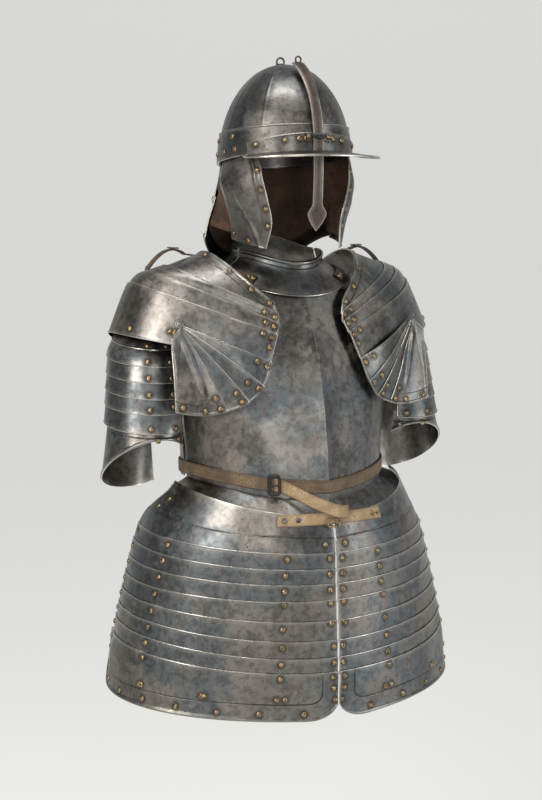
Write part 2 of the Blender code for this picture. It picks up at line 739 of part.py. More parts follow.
def make_arm(side, word):
    """The narrow lames of the upper arm as one stepped body, and the cuff tucked under the last of them."""
    rows = [0.0, ARM_EDGES[0]]
    lifts = [0.0, 0.0]
    for lower in ARM_EDGES[1:]:
        rows.append(lower - ARM_EDGE_SHARE)
        lifts.append(ARM_LAME_STEP)
        if lower < 1:
            rows.append(lower)
            lifts.append(0.0)

    def lames(s, t):
        angle = (t * 2 - 1) * (ARM_HALF_ANGLE + ARM_WIDENING * s) + ARM_TURN
        return arm_surface(s, angle, side)

    inside = (side * ARM_REACH, 0, -0.2)
    sheet(f"arm_lames_{word}", STEEL, lames, rows, np.linspace(0, 1, 10), lifts, LAME_WALL, inside)

    def cuff(s, t):
        angle = (t * 2 - 1) * (CUFF_HALF_ANGLE + CUFF_WIDENING * s) + CUFF_TURN
        turn = np.radians(angle)
        edge = ARM_TOP + ARM_LENGTH + ARM_TILT * np.sin(turn)
        rim = ARM_TOP + ARM_LENGTH + CUFF_LENGTH - CUFF_TILT * np.sin(turn)
        drop = edge - CUFF_TUCK + s * (rim - edge + CUFF_TUCK)
        below = np.clip((drop - edge) / (CUFF_LENGTH + CUFF_TILT), 0, 1)
        centre_x, centre_f = arm_axis((drop - ARM_TOP) / ARM_LENGTH)
        radius = ARM_RADIUS * (CUFF_TOP_SHARE + CUFF_FLARE * below ** CUFF_FLARE_POWER)
        return place(side * (centre_x + radius * np.cos(turn)), centre_f + radius * np.sin(turn), -drop)

    sheet(f"arm_cuff_{word}", STEEL, cuff, [0, 0.3, 0.65, 1], np.linspace(0, 1, 13), 0.0, LAME_WALL, inside)


def rim_height(turn):
    """The height of the helmet's rim, which is pitched up towards the front."""
    return HELMET_RIM + RIM_PITCH * np.cos(turn)


def bowl(height, angle, grow=0.0):
    """The skull's skin: a half ellipsoid, at an angle from the front and a rise above the rim as a share."""
    turn = np.radians(angle)
    depth = np.where(np.cos(turn) > 0, HELMET_FRONT, HELMET_BACK)
    radius = np.sqrt(np.maximum(1 - np.clip(height, 0, 1) ** 2, 0))
    across = (HELMET_HALF_WIDTH + grow) * radius * np.sin(turn)
    forward = HELMET_FORWARD + (depth + grow) * radius * np.cos(turn)
    apex = HELMET_RIM + BOWL_HEIGHT
    up = rim_height(turn) + (apex - rim_height(turn)) * height
    return place(across, forward, up)


def ring_columns(count):
    """Angles round a full turn."""
    return np.arange(count) * 360 / count


def make_helmet_bowl():
    """The bowl with its crown staple, the brow band round its rim and the peak with its flange."""
    inside = (0, -HELMET_FORWARD, HELMET_RIM)
    heights = np.sin(np.linspace(0, 90, 8) * math.pi / 180)
    skull = sheet("helmet_skull", STEEL, bowl, heights, ring_columns(26), 0.0, HELMET_WALL, inside, True)
    crown = HELMET_RIM + BOWL_HEIGHT - RING_DIP
    crown_forward = HELMET_FORWARD - RING_SETBACK
    staple = []
    for angle in np.linspace(-60, 240, 9):
        turn = math.radians(angle)
        up = crown + RING_RADIUS * (RING_RISE + math.sin(turn))
        staple.append((RING_RADIUS * math.cos(turn), -crown_forward, up))
    wire = tube("crown_staple", STEEL, staple, RING_WIRE, 6, False)
    foot = RING_RADIUS * POST_SHARE
    outline = [(-foot, crown - HELMET_WALL), (foot, crown - HELMET_WALL), (foot, crown + HELMET_WALL),
               (-foot, crown + HELMET_WALL)]
    post = prism("crown_post", STEEL, outline, crown_forward - foot, crown_forward + foot)
    combine(skull, post, "UNION")
    combine(skull, wire, "UNION")

    band_lift = HELMET_WALL + FIT_GAP
    sheet("brow_band", STEEL, bowl, [0, heights[1], BAND_HEIGHT / BOWL_HEIGHT], ring_columns(26), band_lift,
          HELMET_WALL, inside, True)

    flange_lift = 2 * (HELMET_WALL + FIT_GAP)

    def peak(s, t):
        angle = t * PEAK_ANGLE
        turn = np.radians(angle)
        up_share = np.clip(1 - s, 0, 1) * FLANGE_HEIGHT / BOWL_HEIGHT * (1 - FLANGE_END_FALL * t ** 2)
        base = bowl(up_share, angle, flange_lift)
        out = np.clip(s - 1, 0, 1)
        reach = PEAK_REACH * (1 - PEAK_END_NARROWING * np.abs(t) ** 6)
        radial = place(np.sin(turn), np.cos(turn), 0 * turn)
        moved = base + radial * (out * reach)[..., None]
        moved[..., 2] -= PEAK_DROOP * out ** 1.5 * reach / PEAK_REACH
        return moved

    made = sheet("helmet_peak", STEEL, peak, [0, 0.96, 1.04, 1.5, 2.0], np.linspace(-1, 1, 17), 0.0,
                 HELMET_WALL, (0, -HELMET_FORWARD, HELMET_RIM - 0.03))
    half = BAR_WIDTH / 2 + SLOT_PLAY
    start = HELMET_FORWARD + HELMET_FRONT + flange_lift + BAR_GAP - SLOT_PLAY
    outline = [(-half, HELMET_RIM - SLOT_BELOW), (half, HELMET_RIM - SLOT_BELOW), (half, HELMET_RIM + SLOT_ABOVE),
               (-half, HELMET_RIM + SLOT_ABOVE)]
    combine(made, prism("peak_slot", STEEL, outline, start, start + BAR_THICKNESS + 2 * SLOT_PLAY), "DIFFERENCE")


def cheek_point(s, angle, side, sink=0.0):
    """A cheek piece's skin at a share down from the rim and an angle from the front."""
    turn = np.radians(angle)
    width = (HELMET_HALF_WIDTH * column(CHEEK, "width", s) - sink) * np.sin(turn)
    depth = np.where(np.cos(turn) > 0, HELMET_FRONT, HELMET_BACK)
    forward = HELMET_FORWARD + (depth * column(CHEEK, "depth", s) - sink) * np.cos(turn)
    rear = np.clip((angle - 50) / 50, 0, 1)
    drop = (CHEEK_LENGTH - CHEEK_REAR_RISE * rear) * s
    return place(side * width, forward, rim_height(turn) + CHEEK_TUCK - drop)


def tail_point(s, angle, sink=0.0):
    """The neck guard's skin: it flares from under the rim at the back down to the collar."""
    turn = np.radians(angle)
    flare = TAIL_FLARE * ease(s) + TAIL_FOOT_FLARE * s ** 2
    width = (HELMET_HALF_WIDTH * TAIL_TUCK + flare * TAIL_SIDE_FLARE - sink) * np.sin(turn)
    forward = HELMET_FORWARD + (HELMET_BACK * TAIL_TUCK + flare - sink) * np.cos(turn)
    behind = np.clip((angle - TAIL_ANGLE) / (180 - TAIL_ANGLE), 0, 2)
    middle = 1 - np.abs(1 - behind)
    length = TAIL_LENGTH + TAIL_DIP * ease(middle * 1.2)
    return place(width, forward, rim_height(turn) + CHEEK_TUCK - length * s)


def make_hangings():
    """The cheek pieces, the neck guard's two lames and the leather that joins them from inside."""
    inside = (0, -HELMET_FORWARD, 0.08)
    for side, word in ((-1, "right"), (1, "left")):
        def cheek(s, t, side=side):
            start = column(CHEEK, "front_angle", s)
            angle = start + t * (column(CHEEK, "back_angle", s) - start)
            return cheek_point(s, angle, side)

        sheet(f"cheek_{word}", STEEL, cheek, [0, 0.14, 0.30, 0.5, 0.75, 1], np.linspace(0, 1, 8), 0.0,
              HELMET_WALL, inside)
    for index, (top, low) in enumerate(TAIL_LAME_SPANS):
        angles = np.linspace(TAIL_ANGLE, 360 - TAIL_ANGLE, 15)
        sheet(f"neck_lame_{index + 1}", DARK_STEEL, tail_point, [top, (top + low) / 2, low], angles,
              -index * LAME_STEP, LAME_WALL, inside)

    def leather(s, t):
        angle = LINING_ANGLE + t * (360 - 2 * LINING_ANGLE)
        mirrored = np.where(angle > 180, 360 - angle, angle)
        side = np.where(angle > 180, -1, 1)
        back = tail_point(s * LINING_LENGTH, mirrored, LINING_SINK * (LAME_WALL + LAME_GAP))
        back[..., 0] = back[..., 0] * side
        blend = ease((mirrored - BLEND_ANGLE) / BLEND_WIDTH)[..., None]
        cheek_skin = cheek_point(s, mirrored, 1, HELMET_WALL + 4 * FIT_GAP)
        cheek_skin[..., 0] = cheek_skin[..., 0] * side
        return cheek_skin * (1 - blend) + back * blend

    half = np.array([LINING_ANGLE, 74, 86, BLEND_ANGLE, 110, 125, 142, 161, 180])
    angles = np.concatenate([half, (360 - half)[-2::-1]])
    columns = (angles - LINING_ANGLE) / (360 - 2 * LINING_ANGLE)
    sheet("neck_leather", LEATHER, leather, [LINING_TOP, 0.14, 0.30, 0.5, 0.75, LINING_FOOT], columns, 0.0,
          LINING_WALL, inside)


def make_nasal():
    """The sliding face bar with its leaf, the staple that guides it and the wing screw that holds it."""
    front = HELMET_FORWARD + HELMET_FRONT
    plates = 2 * (HELMET_WALL + FIT_GAP)
    rim_top = rim_height(0.0)
    rise = HELMET_RIM + BOWL_HEIGHT - rim_top
    inner = front + plates + BAR_GAP
    straight_top = rim_top + BAR_STRAIGHT_TOP
    lean_top = rim_top - BAR_LEAN_START

    def bar(s, t):
        """Down the bar: an arc over the bowl, a straight run past the peak, and the leaf at the end."""
        arc = np.radians(BAR_ARC) * np.clip(1 - s, 0, 1)
        grow = inner - HELMET_FORWARD
        forward = HELMET_FORWARD + grow * np.cos(arc)
        high = straight_top + (rise + plates + BAR_GAP - BAR_TOP_DIP) * np.sin(arc)
        down = np.clip(s - 1, 0, 1) * (straight_top - LEAF_DROP)
        up = high - down
        leaf = np.clip((LEAF_DROP + LEAF_HEIGHT - up) / LEAF_HEIGHT, 0, 1)
        leaf_half = LEAF_WIDTH / 2 * column(LEAF, "half", leaf)
        top_grow = 1 + BAR_TOP_WIDENING * np.clip((BAR_TOP_SHARE - s) / BAR_TOP_SHARE, 0, 1)
        half = np.where(leaf > 0, leaf_half, BAR_WIDTH / 2 * top_grow)
        lean = BAR_LEAN * np.clip((lean_top - up) / (lean_top - LEAF_DROP), 0, 1) ** BAR_LEAN_POWER
        return place(half * t, forward + BAR_THICKNESS - lean, up)

    straight = 1 + (straight_top - LEAF_DROP - LEAF_HEIGHT) / (straight_top - LEAF_DROP)
    lean_row = 1 + (straight_top - lean_top) / (straight_top - LEAF_DROP)
    rows = [0, 0.2, 0.4, 0.6, 0.8, 1.0, lean_row, (lean_row + straight) / 2, straight]
    rows += [straight + (2 - straight) * share for share in (0.14, 0.28, 0.4, 0.5, 0.62, 0.75, 0.88, 1.0)]
    made = sheet("nasal_bar", STEEL, bar, rows, [-1, 0, 1], 0.0, BAR_THICKNESS, (0, 0, 0.1))
    set_origin(made, (0, -inner, rim_top))

    half = BAR_WIDTH / 2 + BRACKET_PLAY
    low = rim_top + BRACKET_RISE
    high = low + BRACKET_HEIGHT
    back = inner - BAR_GAP + FIT_GAP
    bridge = inner + BAR_THICKNESS + FIT_GAP
    foot_top = back + BRACKET_FOOT_WALL
    wide = half + BRACKET_WALL
    outline = [(-BRACKET_FOOT, back), (-half, back), (-half, bridge), (half, bridge), (half, back),
               (BRACKET_FOOT, back), (BRACKET_FOOT, foot_top), (wide, foot_top), (wide, bridge + BRACKET_WALL),
               (-wide, bridge + BRACKET_WALL), (-wide, foot_top), (-BRACKET_FOOT, foot_top)]
    count = len(outline)
    points = [(x, -f, low) for x, f in outline] + [(x, -f, high) for x, f in outline]
    faces = [tuple(range(count)), tuple(range(2 * count - 1, count - 1, -1))]
    faces += [(i, i + count, (i + 1) % count + count, (i + 1) % count) for i in range(count)]
    bracket = finish("nasal_bracket", STEEL, points, faces)
    screw_height = (low + high) / 2

    def disc(radius, start, end, sides, name):
        angles = np.arange(sides) * 2 * math.pi / sides
        outline = [(radius * math.cos(a), screw_height + radius * math.sin(a)) for a in angles]
        return prism(name, DARK_STEEL, outline, start, end)

    hole = disc(SCREW_RADIUS + FIT_GAP, bridge - FIT_GAP, bridge + 2 * BRACKET_WALL, 12, "screw_hole")
    combine(bracket, hole, "DIFFERENCE")
    screw = disc(SCREW_RADIUS, bridge - FIT_GAP / 4, bridge + SCREW_LENGTH, 12, "wing_screw")
    wing = [(SCREW_WING * share, screw_height + up) for share, up in FIN_CORNERS]
    fin = prism("screw_fin", DARK_STEEL, wing, bridge + FIN_START, bridge + FIN_END)
    combine(screw, fin, "UNION")
    set_origin(screw, (0, -bridge, screw_height))


def belt_route(t):
    """Along the belt: the angle from the front, the extra fall of the tongue and the rise over its start."""
    turn = np.clip(t, 0, 1) * 360
    tongue = np.clip(t - 1, 0, 1)
    length = tongue * TONGUE_LENGTH
    angle = BUCKLE_ANGLE + turn + np.degrees(length / (TORSO_HALF_WIDTH * BELT_TURN_SHARE))
    fall = TONGUE_FALL * ease(tongue)
    return angle, fall, tongue


def make_belt():
    """The waist belt, which runs once round, passes its buckle and ends in a curved loose tongue."""
    def belt(s, t):
        angle, fall, tongue = belt_route(t)
        turn = np.radians(angle)
        front = np.maximum(np.cos(turn), 0) ** 2
        drop = BELT_SIDE_DROP + (BELT_FRONT_DROP - BELT_SIDE_DROP) * front + fall + (s - 0.5) * BELT_WIDTH
        waist = WAIST_SIDE_DROP + (WAIST_FRONT_DROP - WAIST_SIDE_DROP) * front
        share = (drop - TORSO_TOP) / (waist - TORSO_TOP)
        points = torso(np.clip(share, 0, 1), angle)
        points[..., 2] = -drop
        over = (LEATHER_WALL + BELT_GAP) * ease((t - OVERLAP_START) / OVERLAP_RISE)
        over = over + TONGUE_STAND * ease((tongue - TONGUE_RISE_START) * 1.8)
        out = place(np.sin(turn), np.cos(turn), 0 * turn)
        return points + out * over[..., None]

    front_columns = breast_columns() * TORSO["side"][-1]
    back_columns = 180 + np.linspace(-1, 1, 13) * TORSO["back_side"][-1]
    angles = np.concatenate([front_columns[front_columns > BUCKLE_ANGLE + 1], back_columns,
                             front_columns[front_columns < BUCKLE_ANGLE - 1] + 360])
    columns = np.concatenate([[0], (angles - BUCKLE_ANGLE) / 360, [1], 1 + np.array([0.2, 0.4, 0.6, 0.8, 1.0])])
    columns = np.sort(np.concatenate([columns, [OVERLAP_START + 1.1 * OVERLAP_RISE]]))
    sheet("waist_belt", LEATHER, belt, [0, 1], columns, BELT_GAP + LEATHER_WALL, LEATHER_WALL, (0, 0, -0.34))

    turn = math.radians(BUCKLE_ANGLE)
    front = math.cos(turn) ** 2
    drop = BELT_SIDE_DROP + (BELT_FRONT_DROP - BELT_SIDE_DROP) * front
    waist = WAIST_SIDE_DROP + (WAIST_FRONT_DROP - WAIST_SIDE_DROP) * front
    centre = torso(np.array((drop - TORSO_TOP) / (waist - TORSO_TOP)), np.array(BUCKLE_ANGLE))
    along = np.array([math.cos(turn), math.sin(turn), 0.0])
    outward = np.array([math.sin(turn), -math.cos(turn), 0.0])
    stand = centre + outward * (2 * LEATHER_WALL + 3 * BELT_GAP + BUCKLE_BAR)
    half_high = BELT_WIDTH / 2 + BUCKLE_MARGIN
    corners = []
    for x, z in ((-1, -1), (1, -1), (1, 1), (-1, 1)):
        corners.append(stand + along * x * BUCKLE_WIDTH / 2 + np.array([0, 0, z * half_high]))
    path = []
    for index in range(4):
        here, following = corners[index], corners[(index + 1) % 4]
        path += [here + (following - here) * share for share in (BUCKLE_CORNER, 1 - BUCKLE_CORNER)]
    tube("belt_buckle", DARK_STEEL, path, BUCKLE_BAR, 6, True)


def make_tasset_strap():
    """The tan strap that joins the two tassets across the split."""
    def strap(s, t):
        angle = t * TASSET_STRAP_REACH
        drop = TASSET_STRAP_DROP + (s - 0.5) * TASSET_STRAP_WIDTH
        return skirt(angle, drop)

    sheet("tasset_strap", TAN_LEATHER, strap, [0, 1], np.linspace(-1, 1, 13), LEATHER_WALL + BELT_GAP,
          LEATHER_WALL, (0, 0, -0.4))


def make_straps(side, word):
    """The strap from backplate to breastplate, and the leather loop that hangs the pauldron on the collar."""
    def shoulder(s, angle):
        share = STRAP_INNER + (STRAP_OUTER - STRAP_INNER) * s
        upper = gorget(np.full_like(share, GORGET_FOOT), angle)
        lower = gorget(np.ones_like(share), angle)
        points = upper + (lower - upper) * share[..., None]
        return points * np.array([side, 1, 1])

    half = gorget_columns()
    angles = np.concatenate([half[half > STRAP_END], (180 - half)[half > STRAP_END][::-1]])
    sheet(f"shoulder_strap_{word}", LEATHER, shoulder, [0, 1], angles, LEATHER_WALL + 3 * FIT_GAP, LEATHER_WALL,
          (0, 0, -0.08))

    def loop(s, t):
        rise = LOOP_HEIGHT * np.sin(math.pi * np.clip(t, 0, 1)) ** 0.8
        return place(side * (LOOP_START + LOOP_REACH * t), LOOP_FORWARD + (s - 0.5) * LOOP_WIDTH,
                     rise - LOOP_FALL * t)

    sheet(f"pauldron_strap_{word}", LEATHER, loop, [0, 1], np.linspace(0, 1, 9), 0.0, LEATHER_WALL,
          (side * 0.15, 0, -0.08))


make_torso()
make_gorget()
for side, word in ((-1, "right"), (1, "left")):
    make_tasset(side, word)
    make_pauldron(side, word)
    make_arm(side, word)
    make_straps(side, word)
make_belt()
make_tasset_strap()
make_helmet_bowl()
make_hangings()
make_nasal()
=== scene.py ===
# %% [markdown]
# # Half armour: the finished look
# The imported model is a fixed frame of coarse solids. This script lays finer plates over it, each from the
# same named sizes, then gives steel, leather and brass their age. Every plate is a formula of two shares,
# so a dense grid of points follows the metal exactly and rolled borders and ridges are real shapes.

# %% Frame and box
import math

import bmesh
import bpy
import numpy as np
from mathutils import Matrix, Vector


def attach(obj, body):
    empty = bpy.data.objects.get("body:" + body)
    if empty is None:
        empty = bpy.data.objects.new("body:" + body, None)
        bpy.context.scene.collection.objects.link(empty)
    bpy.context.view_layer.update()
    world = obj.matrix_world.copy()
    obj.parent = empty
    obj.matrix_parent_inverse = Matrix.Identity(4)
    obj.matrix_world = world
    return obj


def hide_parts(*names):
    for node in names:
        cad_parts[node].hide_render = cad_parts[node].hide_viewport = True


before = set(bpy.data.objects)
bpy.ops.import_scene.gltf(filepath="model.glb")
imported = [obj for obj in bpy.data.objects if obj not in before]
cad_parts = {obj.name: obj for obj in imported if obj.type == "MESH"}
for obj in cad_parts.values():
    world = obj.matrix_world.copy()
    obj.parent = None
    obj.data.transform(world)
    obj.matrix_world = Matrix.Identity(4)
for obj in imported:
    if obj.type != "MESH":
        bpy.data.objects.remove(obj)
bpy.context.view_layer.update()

# %% [markdown]
# ## Driving sizes
# These are the real sizes of the armour in metres, the same ones that the solids were built from, apart
# from the split between the tassets, which is shown 1 mm narrower on each side. Keeping them by name means
# that a plate and the rivets on it can never drift apart.

# %% Sizes
TORSO_WALL, LAME_WALL, HELMET_WALL, LEATHER_WALL, LINING_WALL = 0.0022, 0.0012, 0.0015, 0.0025, 0.0016
FIT_GAP, LAME_GAP, LAME_LAP = 0.0004, 0.0005, 0.006
STEP_SHARE = 1.3
LAME_STEP = (LAME_WALL + LAME_GAP) * STEP_SHARE
TORSO_TOP, TORSO_HALF_WIDTH, BREAST_DEPTH, BACK_DEPTH = 0.055, 0.185, 0.144, 0.108
KEEL_HEIGHT, KEEL_SPREAD, BREAST_ROUND = 0.024, 0.045, 0.85
WAIST_SIDE_DROP, WAIST_FRONT_DROP = 0.345, 0.372
FLANGE_SIDE_LENGTH, FLANGE_FRONT_LENGTH = 0.012, 0.030
FLANGE_SIDE_DROP = WAIST_SIDE_DROP + FLANGE_SIDE_LENGTH
FLANGE_FRONT_DROP = WAIST_FRONT_DROP + FLANGE_FRONT_LENGTH
BELT_WIDTH, BELT_SIDE_RISE, BELT_FRONT_RISE, BELT_GAP = 0.020, 0.015, 0.020, 0.0009
BELT_TURN_SHARE, OVERLAP_START, OVERLAP_RISE = 0.88, 0.93, 0.05
BELT_SIDE_DROP = WAIST_SIDE_DROP - BELT_SIDE_RISE
BELT_FRONT_DROP = WAIST_FRONT_DROP - BELT_FRONT_RISE
TONGUE_LENGTH, TONGUE_FALL, TONGUE_STAND, TONGUE_RISE_START = 0.096, 0.036, 0.024, 0.12
BUCKLE_ANGLE, BUCKLE_WIDTH, BUCKLE_BAR, BUCKLE_MARGIN = -27.5, 0.016, 0.0022, 0.004
GORGET_HALF_WIDTH, GORGET_DEPTH, GORGET_BACK_DEPTH = 0.120, 0.100, 0.1236
GORGET_FALL, GORGET_FOOT = 0.064, 0.6
STRAP_INNER, STRAP_OUTER = 0.08, 0.63
SKIRT_TOP, SKIRT_LENGTH, SKIRT_HALF_WIDTH, SKIRT_DEPTH, SKIRT_FORWARD = 0.340, 0.370, 0.294, 0.192, 0.0076
SKIRT_SPLIT, HEM_SIDE_RISE, HEM_CORNER, HEM_TURN_SHARE = 0.0014, 0.042, 0.034, 0.85
TASSET_STRAP_REACH, TASSET_STRAP_WIDTH, TASSET_STRAP_FALL = 24.0, 0.018, 0.058
TASSET_STRAP_DROP = SKIRT_TOP + TASSET_STRAP_FALL
SHOULDER_REACH, PAULDRON_FRONT, PAULDRON_DROP, ARCH_SPREAD, ARCH_FALL = 0.277, 0.127, 0.161, 2.4, 1.8
PIVOT_REACH, PIVOT_FORWARD, PIVOT_DROP = 0.2043, 0.0692, 0.103
WING_RADIUS, WING_FORWARD, WING_LAP, WING_HOLE, WING_TAIL = 0.153, 0.062, 4.0, 0.0035, 0.021
BOLT_RADIUS, BOLT_HEIGHT, BOLT_LEAN_OUT, BOLT_LEAN_UP = 0.0075, 0.005, 0.58, 0.31
LOOP_START, LOOP_REACH, LOOP_FORWARD = 0.146, 0.066, -0.036
LOOP_WIDTH, LOOP_HEIGHT, LOOP_FALL = 0.014, 0.018, 0.0245
ARM_REACH, ARM_FORWARD, ARM_SPLAY, ARM_ADVANCE = 0.210, -0.024, 0.018, 0.021
ARM_RADIUS, ARM_TOP_NARROWING = 0.064, 0.31
ARM_TOP, ARM_LENGTH, ARM_TILT = 0.100, 0.160, 0.010
CUFF_LENGTH, CUFF_TILT, CUFF_TUCK, CUFF_TOP_SHARE, CUFF_FLARE = 0.062, 0.043, 0.010, 0.937, 0.12
HELMET_FORWARD, HELMET_HALF_WIDTH, HELMET_FRONT, HELMET_BACK = 0.024, 0.103, 0.1015, 0.110
HELMET_RIM, RIM_PITCH, BOWL_HEIGHT, BAND_HEIGHT, FLANGE_HEIGHT = 0.145, 0.014, 0.148, 0.045, 0.030
PEAK_REACH, PEAK_ANGLE, PEAK_DROOP = 0.055, 60.0, 0.008
CHEEK_LENGTH, CHEEK_REAR_RISE, CHEEK_TUCK = 0.149, 0.027, 0.004
TAIL_LENGTH, TAIL_ANGLE, TAIL_FLARE, TAIL_TUCK, TAIL_DIP = 0.118, 112.0, 0.024, 0.970, 0.0487
BAR_WIDTH, BAR_THICKNESS, BAR_GAP, BAR_ARC, BAR_LEAN = 0.0165, 0.003, 0.0012, 68.0, 0.008
LEAF_WIDTH, LEAF_DROP, LEAF_HEIGHT = 0.032, 0.037, 0.052
RING_RADIUS, RING_WIRE, RING_SETBACK, RING_DIP = 0.0065, 0.0016, 0.014, 0.0016
SCREW_RADIUS, SCREW_WING, BRACKET_HEIGHT = 0.0028, 0.009, 0.012
FLANGE_LIFT = 2 * (HELMET_WALL + FIT_GAP)

# %% [markdown]
# ## Rolls and lips
# Smiths roll an edge over a wire or leave a raised lip. Each is a height and a radius in metres, so that
# edges made alike look alike on every plate.

# %% Rolls
NECK_ROLL, BORDER_ROLL = (0.0030, 0.0030), (0.0022, 0.0030)
HEM_ROLL, CUFF_ROLL = (0.0019, 0.0026), (0.0020, 0.0026)
BRIM_ROLL, PLATE_ROLL = (0.0016, 0.0020), (0.0014, 0.0022)
CHEEK_ROLL, THIN_ROLL = (0.0013, 0.0020), (0.0009, 0.0016)
BAND_FOOT, BAND_TOP = (0.0012, 0.0016), (0.0008, 0.0016)
FLANGE_TOP, FAN_HEM = (0.0007, 0.0013), (0.0010, 0.0020)
LIP, FAN_LIP, SIDE_LIP = (0.0005, 0.0011), (0.0005, 0.0010), (0.0004, 0.0010)
LOW_LIP, ARM_LIP = (0.0006, 0.0012), (0.0006, 0.0011)
COLLAR_LINE = 0.0125
CHEEK_LINE = (0.0016, 0.0030)

# %% [markdown]
# ## Sections as short tables
# A plate's shape changes along its length, and each row of a table gives one section as shares of the
# driving sizes. A smooth curve runs through the rows, so the plate has no corners between them.


# %% Tables
def table(columns, rows):
    """A short table as one array for each named column."""
    return dict(zip(columns.split(), np.array(rows, float).T))


TORSO = table("down width front keel back side back_side", [
    (0.00, 0.81, 0.590, 0.25, 0.80, 42, 58),
    (0.10, 0.89, 0.66, 0.42, 0.88, 43, 58),
    (0.26, 0.97, 0.77, 0.60, 0.96, 45, 56),
    (0.38, 1.00, 0.84, 0.80, 1.00, 53, 60),
    (0.50, 1.00, 0.89, 0.88, 1.00, 74, 76),
    (0.66, 0.95, 0.945, 0.96, 0.97, 86, 87),
    (0.85, 0.90, 0.985, 1.00, 0.92, 88, 89),
    (1.00, 0.892, 1.00, 1.00, 0.90, 88, 89),
])
GORGET = table("down width front back front_fall side_fall back_fall", [
    (0.00, 0.56, 0.75, 0.62, 0.17, -0.11, -0.47),
    (0.25, 0.59, 0.79, 0.66, 0.41, 0.12, -0.20),
    (0.60, 0.76, 0.88, 0.80, 0.70, 0.33, 0.25),
    (1.00, 1.00, 1.00, 1.00, 1.00, 0.56, 0.70),
])
SKIRT = table("down width depth", [
    (0.00, 0.645, 0.837),
    (0.14, 0.738, 0.892),
    (0.24, 0.798, 0.931),
    (0.45, 0.879, 0.958),
    (0.65, 0.940, 0.986),
    (0.85, 0.988, 1.000),
    (1.00, 1.000, 1.000),
])
TASSET_EDGES = table("front rear angle", [
    (0.147, 0.000, 84),
    (0.295, 0.220, 109),
    (0.361, 0.283, 110),
    (0.424, 0.351, 110),
    (0.491, 0.420, 111),
    (0.576, 0.484, 111),
    (0.657, 0.548, 111),
    (0.729, 0.608, 111),
    (0.790, 0.672, 111),
])
PAULDRON = table("top_x top_f top_z front_x front_f front_z back_x back_f back_z", [
    (0.449, -0.04, -0.025, 0.217, 0.811, 0.447, 0.240, -0.80, 0.43),
    (0.684, -0.08, 0.109, 0.199, 0.843, 0.547, 0.230, -0.86, 0.53),
    (0.775, -0.14, 0.155, 0.199, 0.866, 0.646, 0.230, -0.90, 0.64),
    (0.868, -0.22, 0.267, 0.220, 0.925, 0.745, 0.250, -0.95, 0.78),
    (1.000, -0.19, 0.733, 0.278, 1.000, 1.000, 0.325, -1.02, 1.25),
])
PAULDRON_LAPS = (0.0, 0.30, 0.27, 0.10, 0.0)
WING = table("angle radius forward", [
    (9, 0.90, 0.82),
    (24.5, 0.91, 0.93),
    (39.6, 0.96, 1.00),
    (51.8, 0.98, 0.86),
    (64.6, 0.95, 0.66),
    (99, 0.855, 0.42),
])
WING_EDGES = (24.5, 39.6, 51.8, 64.6)
ARM_EDGES = (0.10, 0.216, 0.369, 0.522, 0.675, 0.819, 1.0)
CHEEK = table("down front_angle back_angle width depth", [
    (0.00, 55, 100, 0.950, 0.955),
    (0.14, 47, 96, 1.030, 0.955),
    (0.30, 42, 90, 1.100, 0.945),
    (0.50, 39, 86, 1.060, 0.930),
    (0.75, 39, 90, 0.930, 0.905),
    (1.00, 47, 96, 0.850, 0.880),
])


# %% [markdown]
# ## Curves and directions
# Three small tools do most of the work: a smooth curve through a table's rows, a smooth step, and the
# surface's own outward direction, which comes from the slopes of the formula instead of from the mesh.

# %% Curves
def through(share, knots, values):
    """A smooth curve through the values at the knots: cubic pieces whose slopes come from the neighbours."""
    knots = np.asarray(knots, float)
    values = np.asarray(values, float)
    slopes = np.gradient(values, knots)
    share = np.clip(share, knots[0], knots[-1])
    cell = np.clip(np.searchsorted(knots, share, side="right") - 1, 0, len(knots) - 2)
    width = knots[cell + 1] - knots[cell]
    x = (share - knots[cell]) / width
    start = (1 + 2 * x) * (1 - x) ** 2 * values[cell] + x * (1 - x) ** 2 * width * slopes[cell]
    end = x * x * (3 - 2 * x) * values[cell + 1] + x * x * (x - 1) * width * slopes[cell + 1]
    return start + end


def column(rows, name, share):
    """One column of a table at a share of its first column."""
    return through(share, next(iter(rows.values())), rows[name])


def place(across, forward, up):
    """Points from their distances to the wearer's left, forward and up."""
    return np.stack(np.broadcast_arrays(across, -forward, up), axis=-1)


def ease(share):
    """A smooth step from 0 to 1: three times the square less twice the cube."""
    share = np.clip(share, 0, 1)
    return share * share * (3 - 2 * share)


def outward(surface, s, t, inside):
    """The surface's normals by central differences, turned away from a point inside."""
    step = 1e-4
    down = surface(s + step, t) - surface(s - step, t)
    normal = np.cross(down, surface(s, t + step) - surface(s, t - step))
    normal = normal / np.maximum(np.linalg.norm(normal, axis=-1, keepdims=True), 1e-15)
    away = np.sum(normal * (surface(s, t) - np.asarray(inside)))
    return normal if away > 0 else -normal


def spread(start, end, count, rim=0.02):
    """Values from start to end, seven of them crowded within the rim share of each end for rolls."""
    close = rim * np.linspace(0, 1, 8)[:-1]
    middle = np.linspace(rim, 1 - rim, count - 14)
    return start + (end - start) * np.concatenate([close, middle, 1 - close[::-1]])


# %% [markdown]
# ## A plate with a real wall
# Sheet metal is a surface with a thickness. Solidify could add it, but a plate here also needs rolled
# borders that stand only outward, so the outer and inner skins are two grids joined by four rims. Each
# point also keeps its distance in metres to the nearest edge and rivet, and the steel's wear, the painted
# highlight along its edges and the dirt round its rivets are drawn from those later.

# %% Shells
STUDS = {}
FAR = 0.2
SHARE_REACH = 0.3


